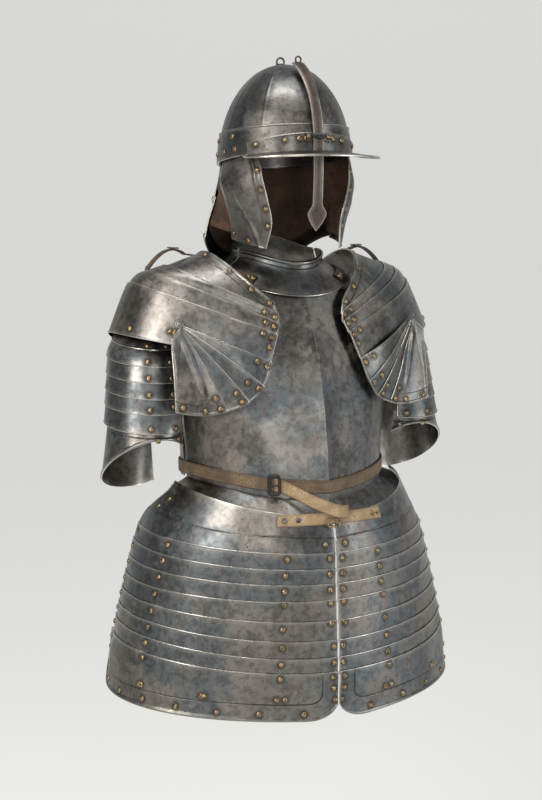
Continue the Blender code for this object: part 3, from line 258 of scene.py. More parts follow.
def edge_gaps(points, closed):
    """Distances in metres along the grid to its top, bottom, left and right edges."""
    down = np.linalg.norm(np.diff(points, axis=0), axis=-1)
    down = np.concatenate([np.zeros((1, points.shape[1])), np.cumsum(down, axis=0)])
    across = np.linalg.norm(np.diff(points, axis=1), axis=-1)
    across = np.concatenate([np.zeros((points.shape[0], 1)), np.cumsum(across, axis=1)], axis=1)
    far = np.full(down.shape, FAR)
    return {"top": down, "bottom": down[-1] - down, "left": far if closed else across,
            "right": far if closed else across[:, -1:] - across}


def bead(gap, height, radius):
    """A rolled border: half a round wire of the given radius lying along the edge."""
    return height * np.sqrt(np.maximum(1 - ((gap - radius) / radius) ** 2, 0))


def ridge(gap, height, width):
    """A soft line of the given height where the distance is nought, fading like a bell."""
    return height * np.exp(-(gap / width) ** 2)


def grid_faces(rows, columns, closed, below):
    """Faces of the outer grid, the inner grid turned round, and the rims between them."""
    last = columns if closed else columns - 1
    r, c = np.meshgrid(np.arange(rows - 1), np.arange(last), indexing="ij")
    n = (c + 1) % columns
    a, b, d, e = r * columns + c, r * columns + n, (r + 1) * columns + n, (r + 1) * columns + c
    outer = np.stack([a, b, d, e], -1).reshape(-1, 4)
    faces = [outer, outer[:, ::-1] + below]
    c = np.arange(last)
    n = (c + 1) % columns
    foot = (rows - 1) * columns
    faces.append(np.stack([n, c, c + below, n + below], -1))
    faces.append(np.stack([foot + c, foot + n, foot + n + below, foot + c + below], -1))
    if not closed:
        r = np.arange(rows - 1) * columns
        low = r + columns
        faces.append(np.stack([r, low, low + below, r + below], -1))
        end = columns - 1
        faces.append(np.stack([low + end, r + end, r + end + below, low + end + below], -1))
    return np.concatenate(faces)


def signed_volume(points, faces):
    """Six times the volume that the faces enclose, which is negative when they point inward."""
    a, b, c, d = (points[faces[:, i]] for i in range(4))
    return np.einsum("ij,ij->", a, np.cross(b, c)) + np.einsum("ij,ij->", a, np.cross(c, d))


def build_mesh(name, look, points, faces, marks=None, sharp=38.0):
    """One object from arrays of points and four-cornered faces, with its marks as attributes."""
    if signed_volume(points, faces) < 0:
        faces = faces[:, ::-1]
    mesh = bpy.data.meshes.new(name)
    mesh.vertices.add(len(points))
    mesh.vertices.foreach_set("co", points.astype(np.float32).ravel())
    mesh.loops.add(faces.size)
    mesh.loops.foreach_set("vertex_index", faces.astype(np.int32).ravel())
    mesh.polygons.add(len(faces))
    mesh.polygons.foreach_set("loop_start", (np.arange(len(faces)) * 4).astype(np.int32))
    for word, values in (marks or {}).items():
        mesh.attributes.new(word, "FLOAT", "POINT").data.foreach_set("value", values.astype(np.float32))
    mesh.update(calc_edges=True)
    mesh.validate()
    body = bmesh.new()
    body.from_mesh(mesh)
    bmesh.ops.remove_doubles(body, verts=body.verts, dist=1e-6)
    body.to_mesh(mesh)
    body.free()
    mesh.shade_smooth()
    mesh.set_sharp_from_angle(angle=math.radians(sharp))
    mesh.materials.append(LOOKS[look])
    made = bpy.data.objects.new(name, mesh)
    bpy.context.scene.collection.objects.link(made)
    return made


def nearest(points, gaps, across, down):
    """The grid point at a way or a share across, and a way down from the top or, below 0, up."""
    word, value = across
    side = (gaps[word] - value) * (SHARE_REACH if word == "t" else 1)
    drop = gaps["top"] - down if down >= 0 else gaps["bottom"] + down
    return np.unravel_index(np.argmin(side ** 2 + drop ** 2), side.shape)


def distance_to(points, spots):
    """Each point's distance in metres to the nearest of some spots."""
    found = np.full(points.shape[:2], FAR)
    for spot in spots:
        found = np.minimum(found, np.linalg.norm(points - spot, axis=-1))
    return found


def shell(surface, rows, columns, lift=0.0, wall=LAME_WALL, inside=(0, 0, 0), relief=None, closed=False,
          studs=(), group="", holes=(), edges=("top", "bottom", "left", "right"), border=None):
    """Points, faces and marks of one plate: the surface raised by lift and relief, and its wall below."""
    s, t = np.meshgrid(np.asarray(rows, float), np.asarray(columns, float), indexing="ij")
    base = surface(s, t)
    normal = outward(surface, s, t, inside)
    raised = np.broadcast_to(np.asarray(lift, float).reshape(-1, 1) if np.ndim(lift) == 1 else lift, s.shape)
    gaps = edge_gaps(base, closed)
    gaps["s"], gaps["t"] = s, t
    extra = relief(gaps) if relief else np.zeros(s.shape)
    outer = base + normal * (raised + extra)[..., None]
    inner = base + normal * (raised - wall)[..., None]
    for points in (outer, inner):
        for row in (0, -1):
            if np.ptp(base[row], axis=0).max() < 1e-6:
                points[row] = points[row].mean(axis=0)
    found = []
    for across, down, *other in studs:
        cell = nearest(outer, gaps, across, down)
        found.append(cell)
        STUDS.setdefault((group, other[0] if other else "brass"), []).append((outer[cell], normal[cell]))
    bare = np.full(s.size, FAR)
    upper = {
        "edge": np.minimum.reduce([gaps[word] for word in edges]),
        "halo": distance_to(outer, [outer[cell] for cell in found]),
        "hole": distance_to(outer, [outer[nearest(outer, gaps, across, down)] for across, down in holes]),
        # The border distance marks lines cut into the metal, and on the tassets also a painted shadow line.
        "inset": border(gaps) if border else np.full(s.shape, FAR),
    }
    marks = {word: np.concatenate([value.ravel(), value.ravel() if word == "edge" else bare])
             for word, value in upper.items()}
    points = np.concatenate([outer.reshape(-1, 3), inner.reshape(-1, 3)])
    return points, grid_faces(*s.shape, closed, s.size), marks


def turned(profile, spot, way, sides):
    """A profile of (radius, height) pairs turned round an axis, as points, faces and plain marks."""
    way = np.asarray(way, float) / np.linalg.norm(way)
    across = np.cross(way, [0.31, 0.17, 0.93])
    across = across / np.linalg.norm(across)
    angle = np.arange(sides) * 2 * math.pi / sides
    ring = np.cos(angle)[:, None] * across + np.sin(angle)[:, None] * np.cross(way, across)
    profile = np.asarray(profile, float)
    points = spot + profile[:, 0, None, None] * ring + profile[:, 1, None, None] * way
    return plain(points.reshape(-1, 3), strip_faces(len(profile), sides))


def strip_faces(rows, columns):
    """Faces of a grid whose columns close round."""
    r, c = np.meshgrid(np.arange(rows - 1), np.arange(columns), indexing="ij")
    n = (c + 1) % columns
    here, below = r * columns, (r + 1) * columns
    return np.stack([here + c, here + n, below + n, below + c], -1).reshape(-1, 4)


def plain(points, faces):
    """A part that carries no wear of its own, turned outward."""
    if signed_volume(points, faces) < 0:
        faces = faces[:, ::-1]
    return points, faces, {word: np.full(len(points), FAR) for word in ("edge", "halo", "hole", "inset")}


def wire(path, radius, sides, closed):
    """A round wire along a flat path, with domed ends where it doesn't close."""
    ahead = np.roll(path, -1, axis=0) - np.roll(path, 1, axis=0)
    if not closed:
        ahead[0], ahead[-1] = path[1] - path[0], path[-1] - path[-2]
    ahead = ahead / np.linalg.norm(ahead, axis=1, keepdims=True)
    flat = np.linalg.svd(path - path.mean(axis=0))[2][2]
    out = np.cross(ahead, flat)
    size = np.full(len(path), radius)
    if closed:
        path, out, size = (np.concatenate([values, values[:1]]) for values in (path, out, size))
    else:
        lengths = radius * np.array([[1.0], [0.85], [0.5]])
        sizes = radius * np.array([0.0, 0.5, 0.85])
        path = np.concatenate([path[0] - lengths * ahead[0], path, path[-1] + lengths[::-1] * ahead[-1]])
        out = np.concatenate([np.repeat(out[:1], 3, 0), out, np.repeat(out[-1:], 3, 0)])
        size = np.concatenate([sizes, size, sizes[::-1]])
    angle = np.arange(sides) * 2 * math.pi / sides
    ring = np.cos(angle)[None, :, None] * out[:, None, :] + np.sin(angle)[None, :, None] * flat
    points = path[:, None, :] + size[:, None, None] * ring
    return plain(points.reshape(-1, 3), strip_faces(len(path), sides))


def rounded_frame(half_long, half_high, corner, along, up):
    """A closed path round a rectangle with rounded corners."""
    turn = np.radians(np.arange(0, 360, 15) + 7.5)
    x = np.sign(np.cos(turn)) * (half_long - corner) + corner * np.cos(turn)
    z = np.sign(np.sin(turn)) * (half_high - corner) + corner * np.sin(turn)
    return x[:, None] * along + z[:, None] * up


def block(outline, way, low, high, chamfer):
    """An outline of an even number of points pushed along a direction and folded shut across both ends."""
    way = np.asarray(way, float)
    inward = outline.mean(axis=0) - outline
    inward = inward / np.linalg.norm(inward, axis=1, keepdims=True) * chamfer
    levels = [outline + inward + way * low, outline + way * (low + chamfer),
              outline + way * (high - chamfer), outline + inward + way * high]
    count = len(outline)
    faces = [strip_faces(4, count)]
    pairs = [(i, i + 1, count - 2 - i, count - 1 - i) for i in range(count // 2 - 1)]
    faces += [np.array(pairs), np.array(pairs)[:, ::-1] + 3 * count]
    return plain(np.concatenate(levels), np.concatenate(faces))


def joined(parts):
    """Several shells as one set of points, faces and marks."""
    start = 0
    faces = []
    for points, part_faces, _ in parts:
        faces.append(part_faces + start)
        start += len(points)
    marks = {word: np.concatenate([part[2][word] for part in parts]) for word in parts[0][2]}
    return np.concatenate([part[0] for part in parts]), np.concatenate(faces), marks


LOOKS = {}


def dress(name, look, parts, nodes, body="armour"):
    """One finished piece from shells: it rides on its body and stands for the nodes given."""
    points, faces, marks = joined(parts)
    made = build_mesh(name, look, points, faces, marks)
    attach(made, body)
    if nodes:
        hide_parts(*nodes)
    print(name, "faces", len(faces))
    return made


# %% [markdown]
# ## Shader maths as plain expressions
# Aged steel is many thin layers of noise: patina, stain, pits, scratches. Written as node calls that
# would be unreadable, so a small class wraps a socket and lets ordinary arithmetic add the Math nodes.

# %% Node expressions
class Wire:
    """A socket in a material's tree; arithmetic on it adds Math nodes."""

    def __init__(self, tree, socket):
        self.tree = tree
        self.socket = socket

    def math(self, operation, other=None, third=None, clamp=False):
        """One Math node of the given operation on this value and up to two others."""
        node = self.tree.nodes.new("ShaderNodeMath")
        node.operation = operation
        node.use_clamp = clamp
        for index, value in enumerate((self, other, third)):
            if isinstance(value, Wire):
                self.tree.links.new(value.socket, node.inputs[index])
            elif value is not None:
                node.inputs[index].default_value = value
        return Wire(self.tree, node.outputs[0])

    def __add__(self, other):
        return self.math("ADD", other)

    def __mul__(self, other):
        return self.math("MULTIPLY", other)

    def __sub__(self, other):
        return self.math("SUBTRACT", other)

    def __rsub__(self, other):
        return self.math("MULTIPLY_ADD", -1.0, other)

    __radd__ = __add__
    __rmul__ = __mul__

    def over(self, low, high):
        """A smooth step from 0 at low to 1 at high, or falling when high is below low."""
        node = self.tree.nodes.new("ShaderNodeMapRange")
        node.interpolation_type = "SMOOTHSTEP"
        node.inputs["From Min"].default_value = min(low, high)
        node.inputs["From Max"].default_value = max(low, high)
        node.inputs["To Min"].default_value = 0.0 if low < high else 1.0
        node.inputs["To Max"].default_value = 1.0 if low < high else 0.0
        self.tree.links.new(self.socket, node.inputs["Value"])
        return Wire(self.tree, node.outputs[0])


class Finish:
    """A Principled material and the few kinds of node that its layers use."""

    def __init__(self, name):
        self.material = bpy.data.materials.new(name)
        self.material.use_nodes = True
        self.tree = self.material.node_tree
        self.shader = self.tree.nodes["Principled BSDF"]
        self.place = self.node("ShaderNodeTexCoord", {}, {}, "Object")

    def node(self, kind, settings, values, output):
        """Any node: its settings first, then the values or links of its sockets."""
        made = self.tree.nodes.new(kind)
        for word, value in settings.items():
            setattr(made, word, value)
        for word, value in values.items():
            if isinstance(value, Wire):
                self.tree.links.new(value.socket, made.inputs[word])
            else:
                made.inputs[word].default_value = value
        return Wire(self.tree, made.outputs[output])

    def stretched(self, turn, scale):
        """The piece's own coordinates, turned and stretched."""
        values = {"Vector": self.place, "Rotation": turn, "Scale": scale}
        return self.node("ShaderNodeMapping", {}, values, "Vector")

    def noise(self, scale, detail=4.0, rough=0.55, at=None):
        """Fractal noise between 0 and 1."""
        values = {"Vector": at or self.place, "Scale": scale, "Detail": detail, "Roughness": rough}
        return self.node("ShaderNodeTexNoise", {}, values, "Fac")

    def cells(self, scale, randomness=1.0, at=None, feature="F1"):
        """Distance to the nearest of many scattered points."""
        values = {"Vector": at or self.place, "Scale": scale, "Randomness": randomness}
        return self.node("ShaderNodeTexVoronoi", {"feature": feature}, values, "Distance")

    def mark(self, word):
        """One of the distances that the mesh carries, in metres."""
        return self.node("ShaderNodeAttribute", {"attribute_name": word}, {}, "Fac")

    def mix(self, share, low, high):
        """A colour between two colours."""
        made = self.tree.nodes.new("ShaderNodeMix")
        made.data_type = "RGBA"
        for index, value in ((0, share), (6, low), (7, high)):
            if isinstance(value, Wire):
                self.tree.links.new(value.socket, made.inputs[index])
            else:
                made.inputs[index].default_value = value if index == 0 else (*value, 1.0)
        return Wire(self.tree, made.outputs[2])

    def set(self, **sockets):
        """Gives the shader's sockets their values or links, with underscores for spaces."""
        for word, value in sockets.items():
            socket = self.shader.inputs[word.replace("_", " ")]
            if isinstance(value, Wire):
                self.tree.links.new(value.socket, socket)
            else:
                socket.default_value = value

    def bump(self, height, distance, strength=1.0):
        """Fine relief from a height between 0 and 1 over a depth in metres."""
        values = {"Height": height, "Distance": distance, "Strength": strength}
        self.set(Normal=self.node("ShaderNodeBump", {}, values, "Normal"))


# %% [markdown]
# ## Aged steel
# The plates were once blued or russeted and have been cleaned many times. What is left is grey metal with
# cloudy blue and brown patches, rust bitten into pits, long scratches, and bright metal where edges were
# rubbed, painted paler still as a highlight along each edge. Layering noises of falling size gives the
# clouds, and the distances kept on each point place the worn edges with their painted highlight, the dirt
# round the rivets, the cut lines, the painted shadow lines below the tassets' lips, and the holes, painted
# near black as the shade inside them.

# %% Steel
def aged_steel(name, clean, blue, russet, gloss):
    """Steel whose colour is clean metal, with blue and russet clouds, pits, scratches, rubbed edges under a
    painted highlight, dark cut lines and painted shadow lines, and holes painted near black as their shade.
    """
    steel = Finish(name)
    cloud = steel.noise(7.0, 5.0, 0.6)
    patch = steel.noise(19.0, 7.0, 0.65)
    grain = steel.noise(90.0, 6.0, 0.7)
    speck = steel.noise(420.0, 3.0, 0.6)
    brushed = steel.noise(1.0, 4.0, 0.6, steel.stretched((0.3, 0.2, 0.9), (60.0, 60.0, 900.0)))
    crossed = steel.noise(1.0, 4.0, 0.6, steel.stretched((0.9, -0.4, 0.2), (70.0, 1100.0, 70.0)))
    streak = steel.noise(1.0, 5.0, 0.6, steel.stretched((0.0, 0.0, 0.0), (40.0, 40.0, 9.0)))
    blue_share = cloud.over(0.43, 0.58) * patch.over(0.30, 0.56)
    rust_share = (patch * 0.6 + grain * 0.4).over(0.49, 0.66) * streak.over(0.38, 0.60)
    pit_cell = steel.cells(150.0)
    pit = pit_cell.over(0.20, 0.08) * patch.over(0.50, 0.60)
    small_pit = steel.cells(430.0).over(0.22, 0.08) * grain.over(0.50, 0.62)
    scratch = brushed.over(0.655, 0.70) * 0.6 + crossed.over(0.665, 0.71) * 0.5
    edge = steel.mark("edge")
    # The two edge marks below are partly real rubbed wear and partly a painted highlight: a narrow pale line
    # at each edge, and a faint wider band.
    edge_wear_and_highlight = (edge + (grain - 0.5) * 0.0018).over(0.0013, 0.0002)
    edge_rub_and_highlight = (edge + (patch - 0.5) * 0.012).over(0.009, 0.001) * 0.22
    halo = (steel.mark("halo") + (grain - 0.5) * 0.003).over(0.0105, 0.0048)
    # This distance draws dark lines: lines cut into the metal, and a painted shadow line above each tasset
    # lip and at the top plate's step.
    inset = steel.mark("inset")
    line = inset.over(0.0015, 0.0005)
    # The holes are not cut through: each is painted near black as the shade inside it, with a dip in the
    # bump.
    hole = steel.mark("hole").over(0.0017, 0.0012)
    tone = (cloud * 0.5 + patch * 0.5).over(0.36, 0.66)
    colour = steel.mix(tone, tuple(0.62 * value for value in clean), clean)
    colour = steel.mix(blue_share * 0.80, colour, blue)
    colour = steel.mix(rust_share * 0.66, colour, russet)
    colour = steel.mix(grain.over(0.56, 0.40) * 0.45, colour, (0.05, 0.043, 0.037))
    colour = steel.mix(scratch * 0.35, colour, (0.50, 0.47, 0.43))
    # A faint wide band of painted highlight and rubbed wear near each edge.
    colour = steel.mix(edge_rub_and_highlight, colour, (0.46, 0.43, 0.39))
    colour = steel.mix(pit * 0.85, colour, (0.035, 0.022, 0.016))
    colour = steel.mix(small_pit * 0.6, colour, (0.05, 0.035, 0.026))
    colour = steel.mix(halo * 0.75, colour, (0.035, 0.027, 0.022))
    # Dark lines: real cut lines, and painted shadow lines just above where the next tasset plate's lip lies.
    colour = steel.mix(line * 0.85, colour, (0.030, 0.025, 0.021))
    # A narrow pale line of painted highlight and wear along each edge.
    colour = steel.mix(edge_wear_and_highlight * 0.75, colour, (0.58, 0.55, 0.50))
    # Painted shade: each hole filled near black.
    colour = steel.mix(hole, colour, (0.004, 0.004, 0.004))
    rough = gloss + patch.over(0.35, 0.65) * 0.16 + rust_share * 0.22 + grain * 0.10
    rough = rough + pit * 0.2 - edge_wear_and_highlight * 0.10
    dull = rust_share * 0.45 + pit * 0.5 + halo * 0.35
    steel.set(Base_Color=colour, Roughness=rough, Metallic=1.0 - dull)
    wave = steel.noise(26.0, 2.0, 0.4)
    height = (wave * 0.55 + grain * 0.10 + speck * 0.035 - pit * 0.35 - small_pit * 0.12 - scratch * 0.05
              - line * 0.5 - hole)
    steel.bump(height, 0.0016, 0.55)
    return steel.material


STEELS = (
    ("steel", "aged_steel", (0.280, 0.262, 0.240), (0.080, 0.110, 0.130), (0.130, 0.090, 0.068), 0.24),
    ("helmet", "helmet_steel", (0.215, 0.205, 0.193), (0.065, 0.082, 0.095), (0.085, 0.060, 0.046), 0.26),
    ("dark", "dark_steel", (0.060, 0.055, 0.052), (0.030, 0.034, 0.040), (0.058, 0.036, 0.026), 0.38),
    ("rusty", "rusty_steel", (0.150, 0.115, 0.090), (0.065, 0.060, 0.058), (0.085, 0.042, 0.022), 0.40),
)
for look, *colours in STEELS:
    LOOKS[look] = aged_steel(*colours)


# %% [markdown]
# ## Leather and brass
# Old strap leather is dry: a net of fine cracks, darker at the edges where hands have been. The rivet
# heads are brass gone brown, rubbed yellow on the crown.

# %% Leather and brass
def old_leather(name, light, dark, rough):
    """Leather from two browns, with cracks from the cells of a Voronoi pattern and darkened edges."""
    hide = Finish(name)
    blotch = hide.noise(30.0, 6.0, 0.65)
    fibre = hide.noise(500.0, 4.0, 0.7)
    crack = hide.cells(260.0, 1.0, None, "DISTANCE_TO_EDGE").over(0.10, 0.02) * blotch.over(0.40, 0.60)
    edge = (hide.mark("edge") + (blotch - 0.5) * 0.002).over(0.0035, 0.0)
    colour = hide.mix(blotch.over(0.36, 0.64), dark, light)
    colour = hide.mix(fibre.over(0.60, 0.40) * 0.35, colour, tuple(0.5 * value for value in dark))
    colour = hide.mix(crack * 0.6, colour, tuple(0.35 * value for value in dark))
    colour = hide.mix(edge * 0.6, colour, tuple(0.5 * value for value in dark))
    hide.set(Base_Color=colour, Roughness=rough + fibre * 0.12)
    hide.bump(blotch * 0.5 + fibre * 0.2 - crack * 0.5, 0.0009, 0.6)
    return hide.material


def dull_brass(name, light, dark):
    """Brass from a yellow crown to a brown foot by noise."""
    brass = Finish(name)
    stain = brass.noise(260.0, 5.0, 0.65)
    fine = brass.noise(1500.0, 3.0, 0.6)
    brass.set(Base_Color=brass.mix(stain.over(0.38, 0.62), dark, light), Roughness=0.28 + stain * 0.30,
              Metallic=1.0)
    brass.bump(stain * 0.6 + fine * 0.3, 0.0005, 0.5)
    return brass.material


LEATHERS = (
    ("leather", "brown_leather", (0.125, 0.072, 0.040), (0.045, 0.027, 0.018), 0.62),
    ("lining", "lining_leather", (0.125, 0.062, 0.030), (0.034, 0.018, 0.011), 0.75),
    ("belt", "belt_leather", (0.215, 0.145, 0.080), (0.085, 0.055, 0.032), 0.55),
    ("tan", "tan_leather", (0.480, 0.345, 0.200), (0.260, 0.170, 0.090), 0.60),
)
for look, *colours in LEATHERS:
    LOOKS[look] = old_leather(*colours)
LOOKS["brass"] = dull_brass("rivet_brass", (0.400, 0.300, 0.165), (0.100, 0.070, 0.042))
LOOKS["iron"] = dull_brass("rivet_iron", (0.260, 0.250, 0.240), (0.070, 0.060, 0.052))


# %% [markdown]
# ## Breastplate and backplate
# The breast is one sheet raised over a stake, with a keel down the middle that is sharpest at the waist.
# A table of sections gives width, depth and keel; the keel is a peak that fades with distance from the
# middle line.

# %% Torso
def torso(s, angle):
    """Width times sine across, depth times cosine forward, and a keel that fades off the middle line."""
    turn = np.radians(angle)
    front = np.cos(turn) > 0
    drop = WAIST_SIDE_DROP + np.where(front, (WAIST_FRONT_DROP - WAIST_SIDE_DROP) * np.cos(turn) ** 2, 0)
    across = TORSO_HALF_WIDTH * column(TORSO, "width", s) * np.sin(turn)
    keel = KEEL_HEIGHT * column(TORSO, "keel", s) * np.exp(-np.abs(across) / KEEL_SPREAD)
    ahead = BREAST_DEPTH * column(TORSO, "front", s) * np.maximum(np.cos(turn), 0) ** BREAST_ROUND
    ahead = ahead + keel * np.maximum(np.cos(turn), 0)
    behind = BACK_DEPTH * column(TORSO, "back", s) * np.cos(turn)
    return place(across, np.where(front, ahead, behind), -(TORSO_TOP + s * (drop - TORSO_TOP)))


def skirt(angle, down):
    """The tassets' surface: an ellipse that widens down the table of sections."""
    turn = np.radians(angle)
    share = (down - SKIRT_TOP) / SKIRT_LENGTH
    across = SKIRT_HALF_WIDTH * column(SKIRT, "width", share) * np.sin(turn)
    return place(across, SKIRT_FORWARD + SKIRT_DEPTH * column(SKIRT, "depth", share) * np.cos(turn), -down)


def breast(s, t):
    """The torso down to the waist, then the flange that lies under the tassets."""
    upper = torso(np.clip(s, 0, 1), t * column(TORSO, "side", np.clip(s, 0, 1)))
    angle = t * TORSO["side"][-1]
    front = np.cos(np.radians(angle)) ** 2
    start = WAIST_SIDE_DROP + (WAIST_FRONT_DROP - WAIST_SIDE_DROP) * front
    end = FLANGE_SIDE_DROP + (FLANGE_FRONT_DROP - FLANGE_SIDE_DROP) * front
    rim = skirt(angle, start + (s - 1) * (end - start))
    scale = 1 - (LAME_WALL + FIT_GAP + 3 * LAME_GAP) / SKIRT_DEPTH
    rim = rim * np.array([scale, scale, 1])
    share = np.clip(s - 1, 0, 1)[..., None]
    flange = rim * share + (1 - share) * torso(np.ones_like(s), angle)
    flange[..., 2] = rim[..., 2]
    return np.where((s > 1)[..., None], flange, upper)


def breast_relief(gaps):
    """A rolled border along the arm openings."""
    side = np.minimum(gaps["left"], gaps["right"])
    return bead(side, *BORDER_ROLL) * ease((0.85 - gaps["s"]) / 0.1)


def back_surface(s, t):
    """The torso's back, as wide at each height as its table says."""
    return torso(s, 180 + t * column(TORSO, "back_side", s))


chest = (0, 0, -0.2)
rows = np.concatenate([np.linspace(0, 1, 84), 1 + np.linspace(0.08, 1, 12)])
part = shell(breast, rows, spread(-1, 1, 151, 0.014), 0.0, TORSO_WALL, chest, breast_relief,
             edges=("left", "right", "bottom"))
dress("breastplate_skin", "steel", [part], ["breastplate"])
part = shell(back_surface, np.linspace(0, 1, 60), spread(-1, 1, 91, 0.014), 0.0, TORSO_WALL, chest,
             breast_relief)
dress("backplate_skin", "steel", [part], ["backplate"])


# %% [markdown]
# ## Collar
# Two halves close round the neck. The rim is rolled outward over a wire, and a line is cut below it.

# %% Collar
def gorget(s, angle):
    """An ellipse whose width, depth and fall follow the table, different before and behind."""
    turn = np.radians(angle)
    front = np.cos(turn) > 0
    across = GORGET_HALF_WIDTH * column(GORGET, "width", s) * np.sin(turn)
    depth = np.where(front, GORGET_DEPTH * column(GORGET, "front", s),
                     GORGET_BACK_DEPTH * column(GORGET, "back", s))
    end_fall = np.where(front, column(GORGET, "front_fall", s), column(GORGET, "back_fall", s))
    side_fall = column(GORGET, "side_fall", s)
    fall = side_fall + (end_fall - side_fall) * np.cos(turn) ** 2
    return place(across, depth * np.cos(turn), -GORGET_FALL * fall)


def gorget_relief(gaps):
    """A roll at the neck, and a thin raised lip along the lower edge."""
    return bead(gaps["top"], *NECK_ROLL) + bead(gaps["bottom"], *LOW_LIP)


neck = (0, 0, -0.08)
for word, middle in (("front", 0), ("back", 180)):
    part = shell(gorget, spread(0, 1, 46, 0.08), middle + np.linspace(-88, 88, 95), 0.0, HELMET_WALL, neck,
                 gorget_relief, edges=("top", "bottom"),
                 border=lambda gaps: np.abs(gaps["top"] - COLLAR_LINE))
    dress(f"gorget_{word}_skin", "steel", [part], [f"gorget_{word}"])


# %% [markdown]
# ## Tassets
# Each skirt is nine plates riveted to leathers inside, every one lying outside the plate above. The edges
# droop towards the front and rise to the side. Each upper edge has a fine raised lip, with a dark line of
# painted shadow on the plate above it, and the last plate has a rolled hem with a line cut inside it.

# %% Tassets
def tasset_drop(angle, plate):
    """The drop of a plate's upper edge: its front and rear drops joined by a smooth step."""
    front = SKIRT_TOP + SKIRT_LENGTH * TASSET_EDGES["front"][plate]
    rear = SKIRT_TOP + SKIRT_LENGTH * TASSET_EDGES["rear"][plate]
    return front + (rear - front) * ease(angle / TASSET_EDGES["angle"][-1]) ** 0.9


def hem_drop(angle, angle_end):
    """The drop of the hem, which rises to the side and rounds off at both ends."""
    hem = SKIRT_TOP + SKIRT_LENGTH - HEM_SIDE_RISE * angle / angle_end
    rear = np.radians(angle_end - angle) * SKIRT_HALF_WIDTH * HEM_TURN_SHARE
    for distance in (np.radians(angle) * SKIRT_DEPTH, rear):
        share = np.clip(1 - distance / HEM_CORNER, 0, 1)
        hem = hem - HEM_CORNER * (1 - np.sqrt(np.maximum(1 - share ** 2, 0)))
    return hem


STUD_INSET, STUD_DROP, SECOND_COLUMN, THIRD_COLUMN, REAR_INSET = 0.0085, 0.0080, 0.17, 0.64, 0.022
HEM_STUDS = (0.10, 0.23, 0.36, 0.49, 0.62, 0.76, 0.89)
HEM_PAIRS, PAIR_STEP = (0.17, 0.40, 0.64), 0.009
HEM_LINE, HEM_SOFTNESS = 0.027, 0.008
STEP_FOOT, STEP_RISE, STEP_HEIGHT, STEP_EASE = 0.022, 0.020, 0.0008, 0.0012
# Height above a plate's lower edge of the painted shadow line along the next plate's lip.
LIP_SHADOW_REACH = LAME_LAP + 0.0007
last_plate = len(TASSET_EDGES["front"]) - 1


def tasset_relief(plate):
    """The lip along a plate's upper edge and its side edges, and the last plate's rolled hem."""
    def lip(gaps):
        sides = np.minimum(gaps["left"], gaps["right"])
        if plate == last_plate:
            rim = np.minimum(sides, gaps["bottom"])
            return bead(rim, *HEM_ROLL) + bead(gaps["top"], *LIP)
        if plate == 0:
            return bead(sides, *THIN_ROLL) + STEP_HEIGHT * ease(top_step(gaps) / STEP_EASE + 0.5)
        return bead(gaps["top"], *LIP) + bead(sides, *SIDE_LIP)
    return lip


def top_step(gaps):
    """How far a point of the top plate lies below the step across it, which is higher towards the rear."""
    return LAME_LAP + STEP_FOOT + STEP_RISE * gaps["t"] - gaps["bottom"]


def hem_border(gaps):
    """Distance to a line that keeps a steady way inside the hem, with its corners rounded."""
    nearness = sum(np.exp(-gaps[word] / HEM_SOFTNESS) for word in ("bottom", "left", "right"))
    return np.abs(-HEM_SOFTNESS * np.log(nearness) - HEM_LINE)


def lip_shadow_distance(gaps):
    """Distance to the place just above where the next plate's lip lies, where a dark line of painted shadow
    is drawn.
    """
    return np.abs(gaps["bottom"] - LIP_SHADOW_REACH)


for side, word in ((-1, "right"), (1, "left")):
    start = math.degrees(math.asin(SKIRT_SPLIT / SKIRT_HALF_WIDTH))
    for plate in range(last_plate + 1):
        top_angle = TASSET_EDGES["angle"][plate]
        low_angle = TASSET_EDGES["angle"][min(plate + 1, last_plate)]

        def tasset(s, t, plate=plate, top_angle=top_angle, low_angle=low_angle):
            """Between a plate's own edge and the next one's, with a lap under it."""
            angle = start + t * (top_angle + (low_angle - top_angle) * ease(s) - start)
            top = tasset_drop(angle, plate)
            if plate < last_plate:
                low = tasset_drop(angle, plate + 1) + LAME_LAP
            else:
                low = hem_drop(angle, low_angle)
            return skirt(angle, top + s * (low - top)) * np.array([side, 1, 1])

        studs = [(("left", STUD_INSET), STUD_DROP), (("t", SECOND_COLUMN), STUD_DROP),
                 (("t", THIRD_COLUMN), STUD_DROP), (("right", REAR_INSET), STUD_DROP)]
        edges, border, across = ("top", "left", "right"), None, spread(0, 1, 131, 0.012)
        if plate == 0:
            rows, lift = spread(0, 1, 44, 0.05), 0.0
            studs = [(("right", REAR_INSET), down) for down in (0.03, 0.055)]
            studs += [(("left", 0.016), -0.018)]
            # On the top plate a dark line along its step is painted shadow, like the line above each lip.
            border = lambda gaps: np.abs(top_step(gaps))
        elif plate < last_plate:
            rows = spread(0, 1, 19, 0.13)
            lift = LAME_STEP * (1 - rows)
            # Middle plates get a painted shadow line just above the next plate's lip.
            border = lip_shadow_distance
        else:
            rows = spread(0, 1, 50, 0.055)
            lift = np.interp(rows, [0, 0.3, 0.65, 1], [LAME_STEP, LAME_STEP * 0.75, 0, 0])
            across = 0.5 - 0.5 * np.cos(math.pi * np.linspace(0, 1, 151))
            studs += [(("t", share), -0.012) for share in HEM_STUDS]
            studs += [(("t", share + way * PAIR_STEP), -0.034) for share in HEM_PAIRS for way in (-1, 1)]
            studs += [(("left", STUD_INSET), down) for down in (0.026, 0.044)]
            studs += [(("right", STUD_INSET), 0.03)]
            edges, border = ("top", "left", "right", "bottom"), hem_border
        place_name = "top" if plate == 0 else "bottom" if plate == last_plate else f"lame_{plate}"
        node = f"tasset_{place_name}_{word}"
        part = shell(tasset, rows, across, lift, LAME_WALL, (0, 0, -0.5), tasset_relief(plate), studs=studs,
                     group=f"tasset_{word}", edges=edges, border=border)
        dress(f"{node}_skin", "steel", [part], [node])


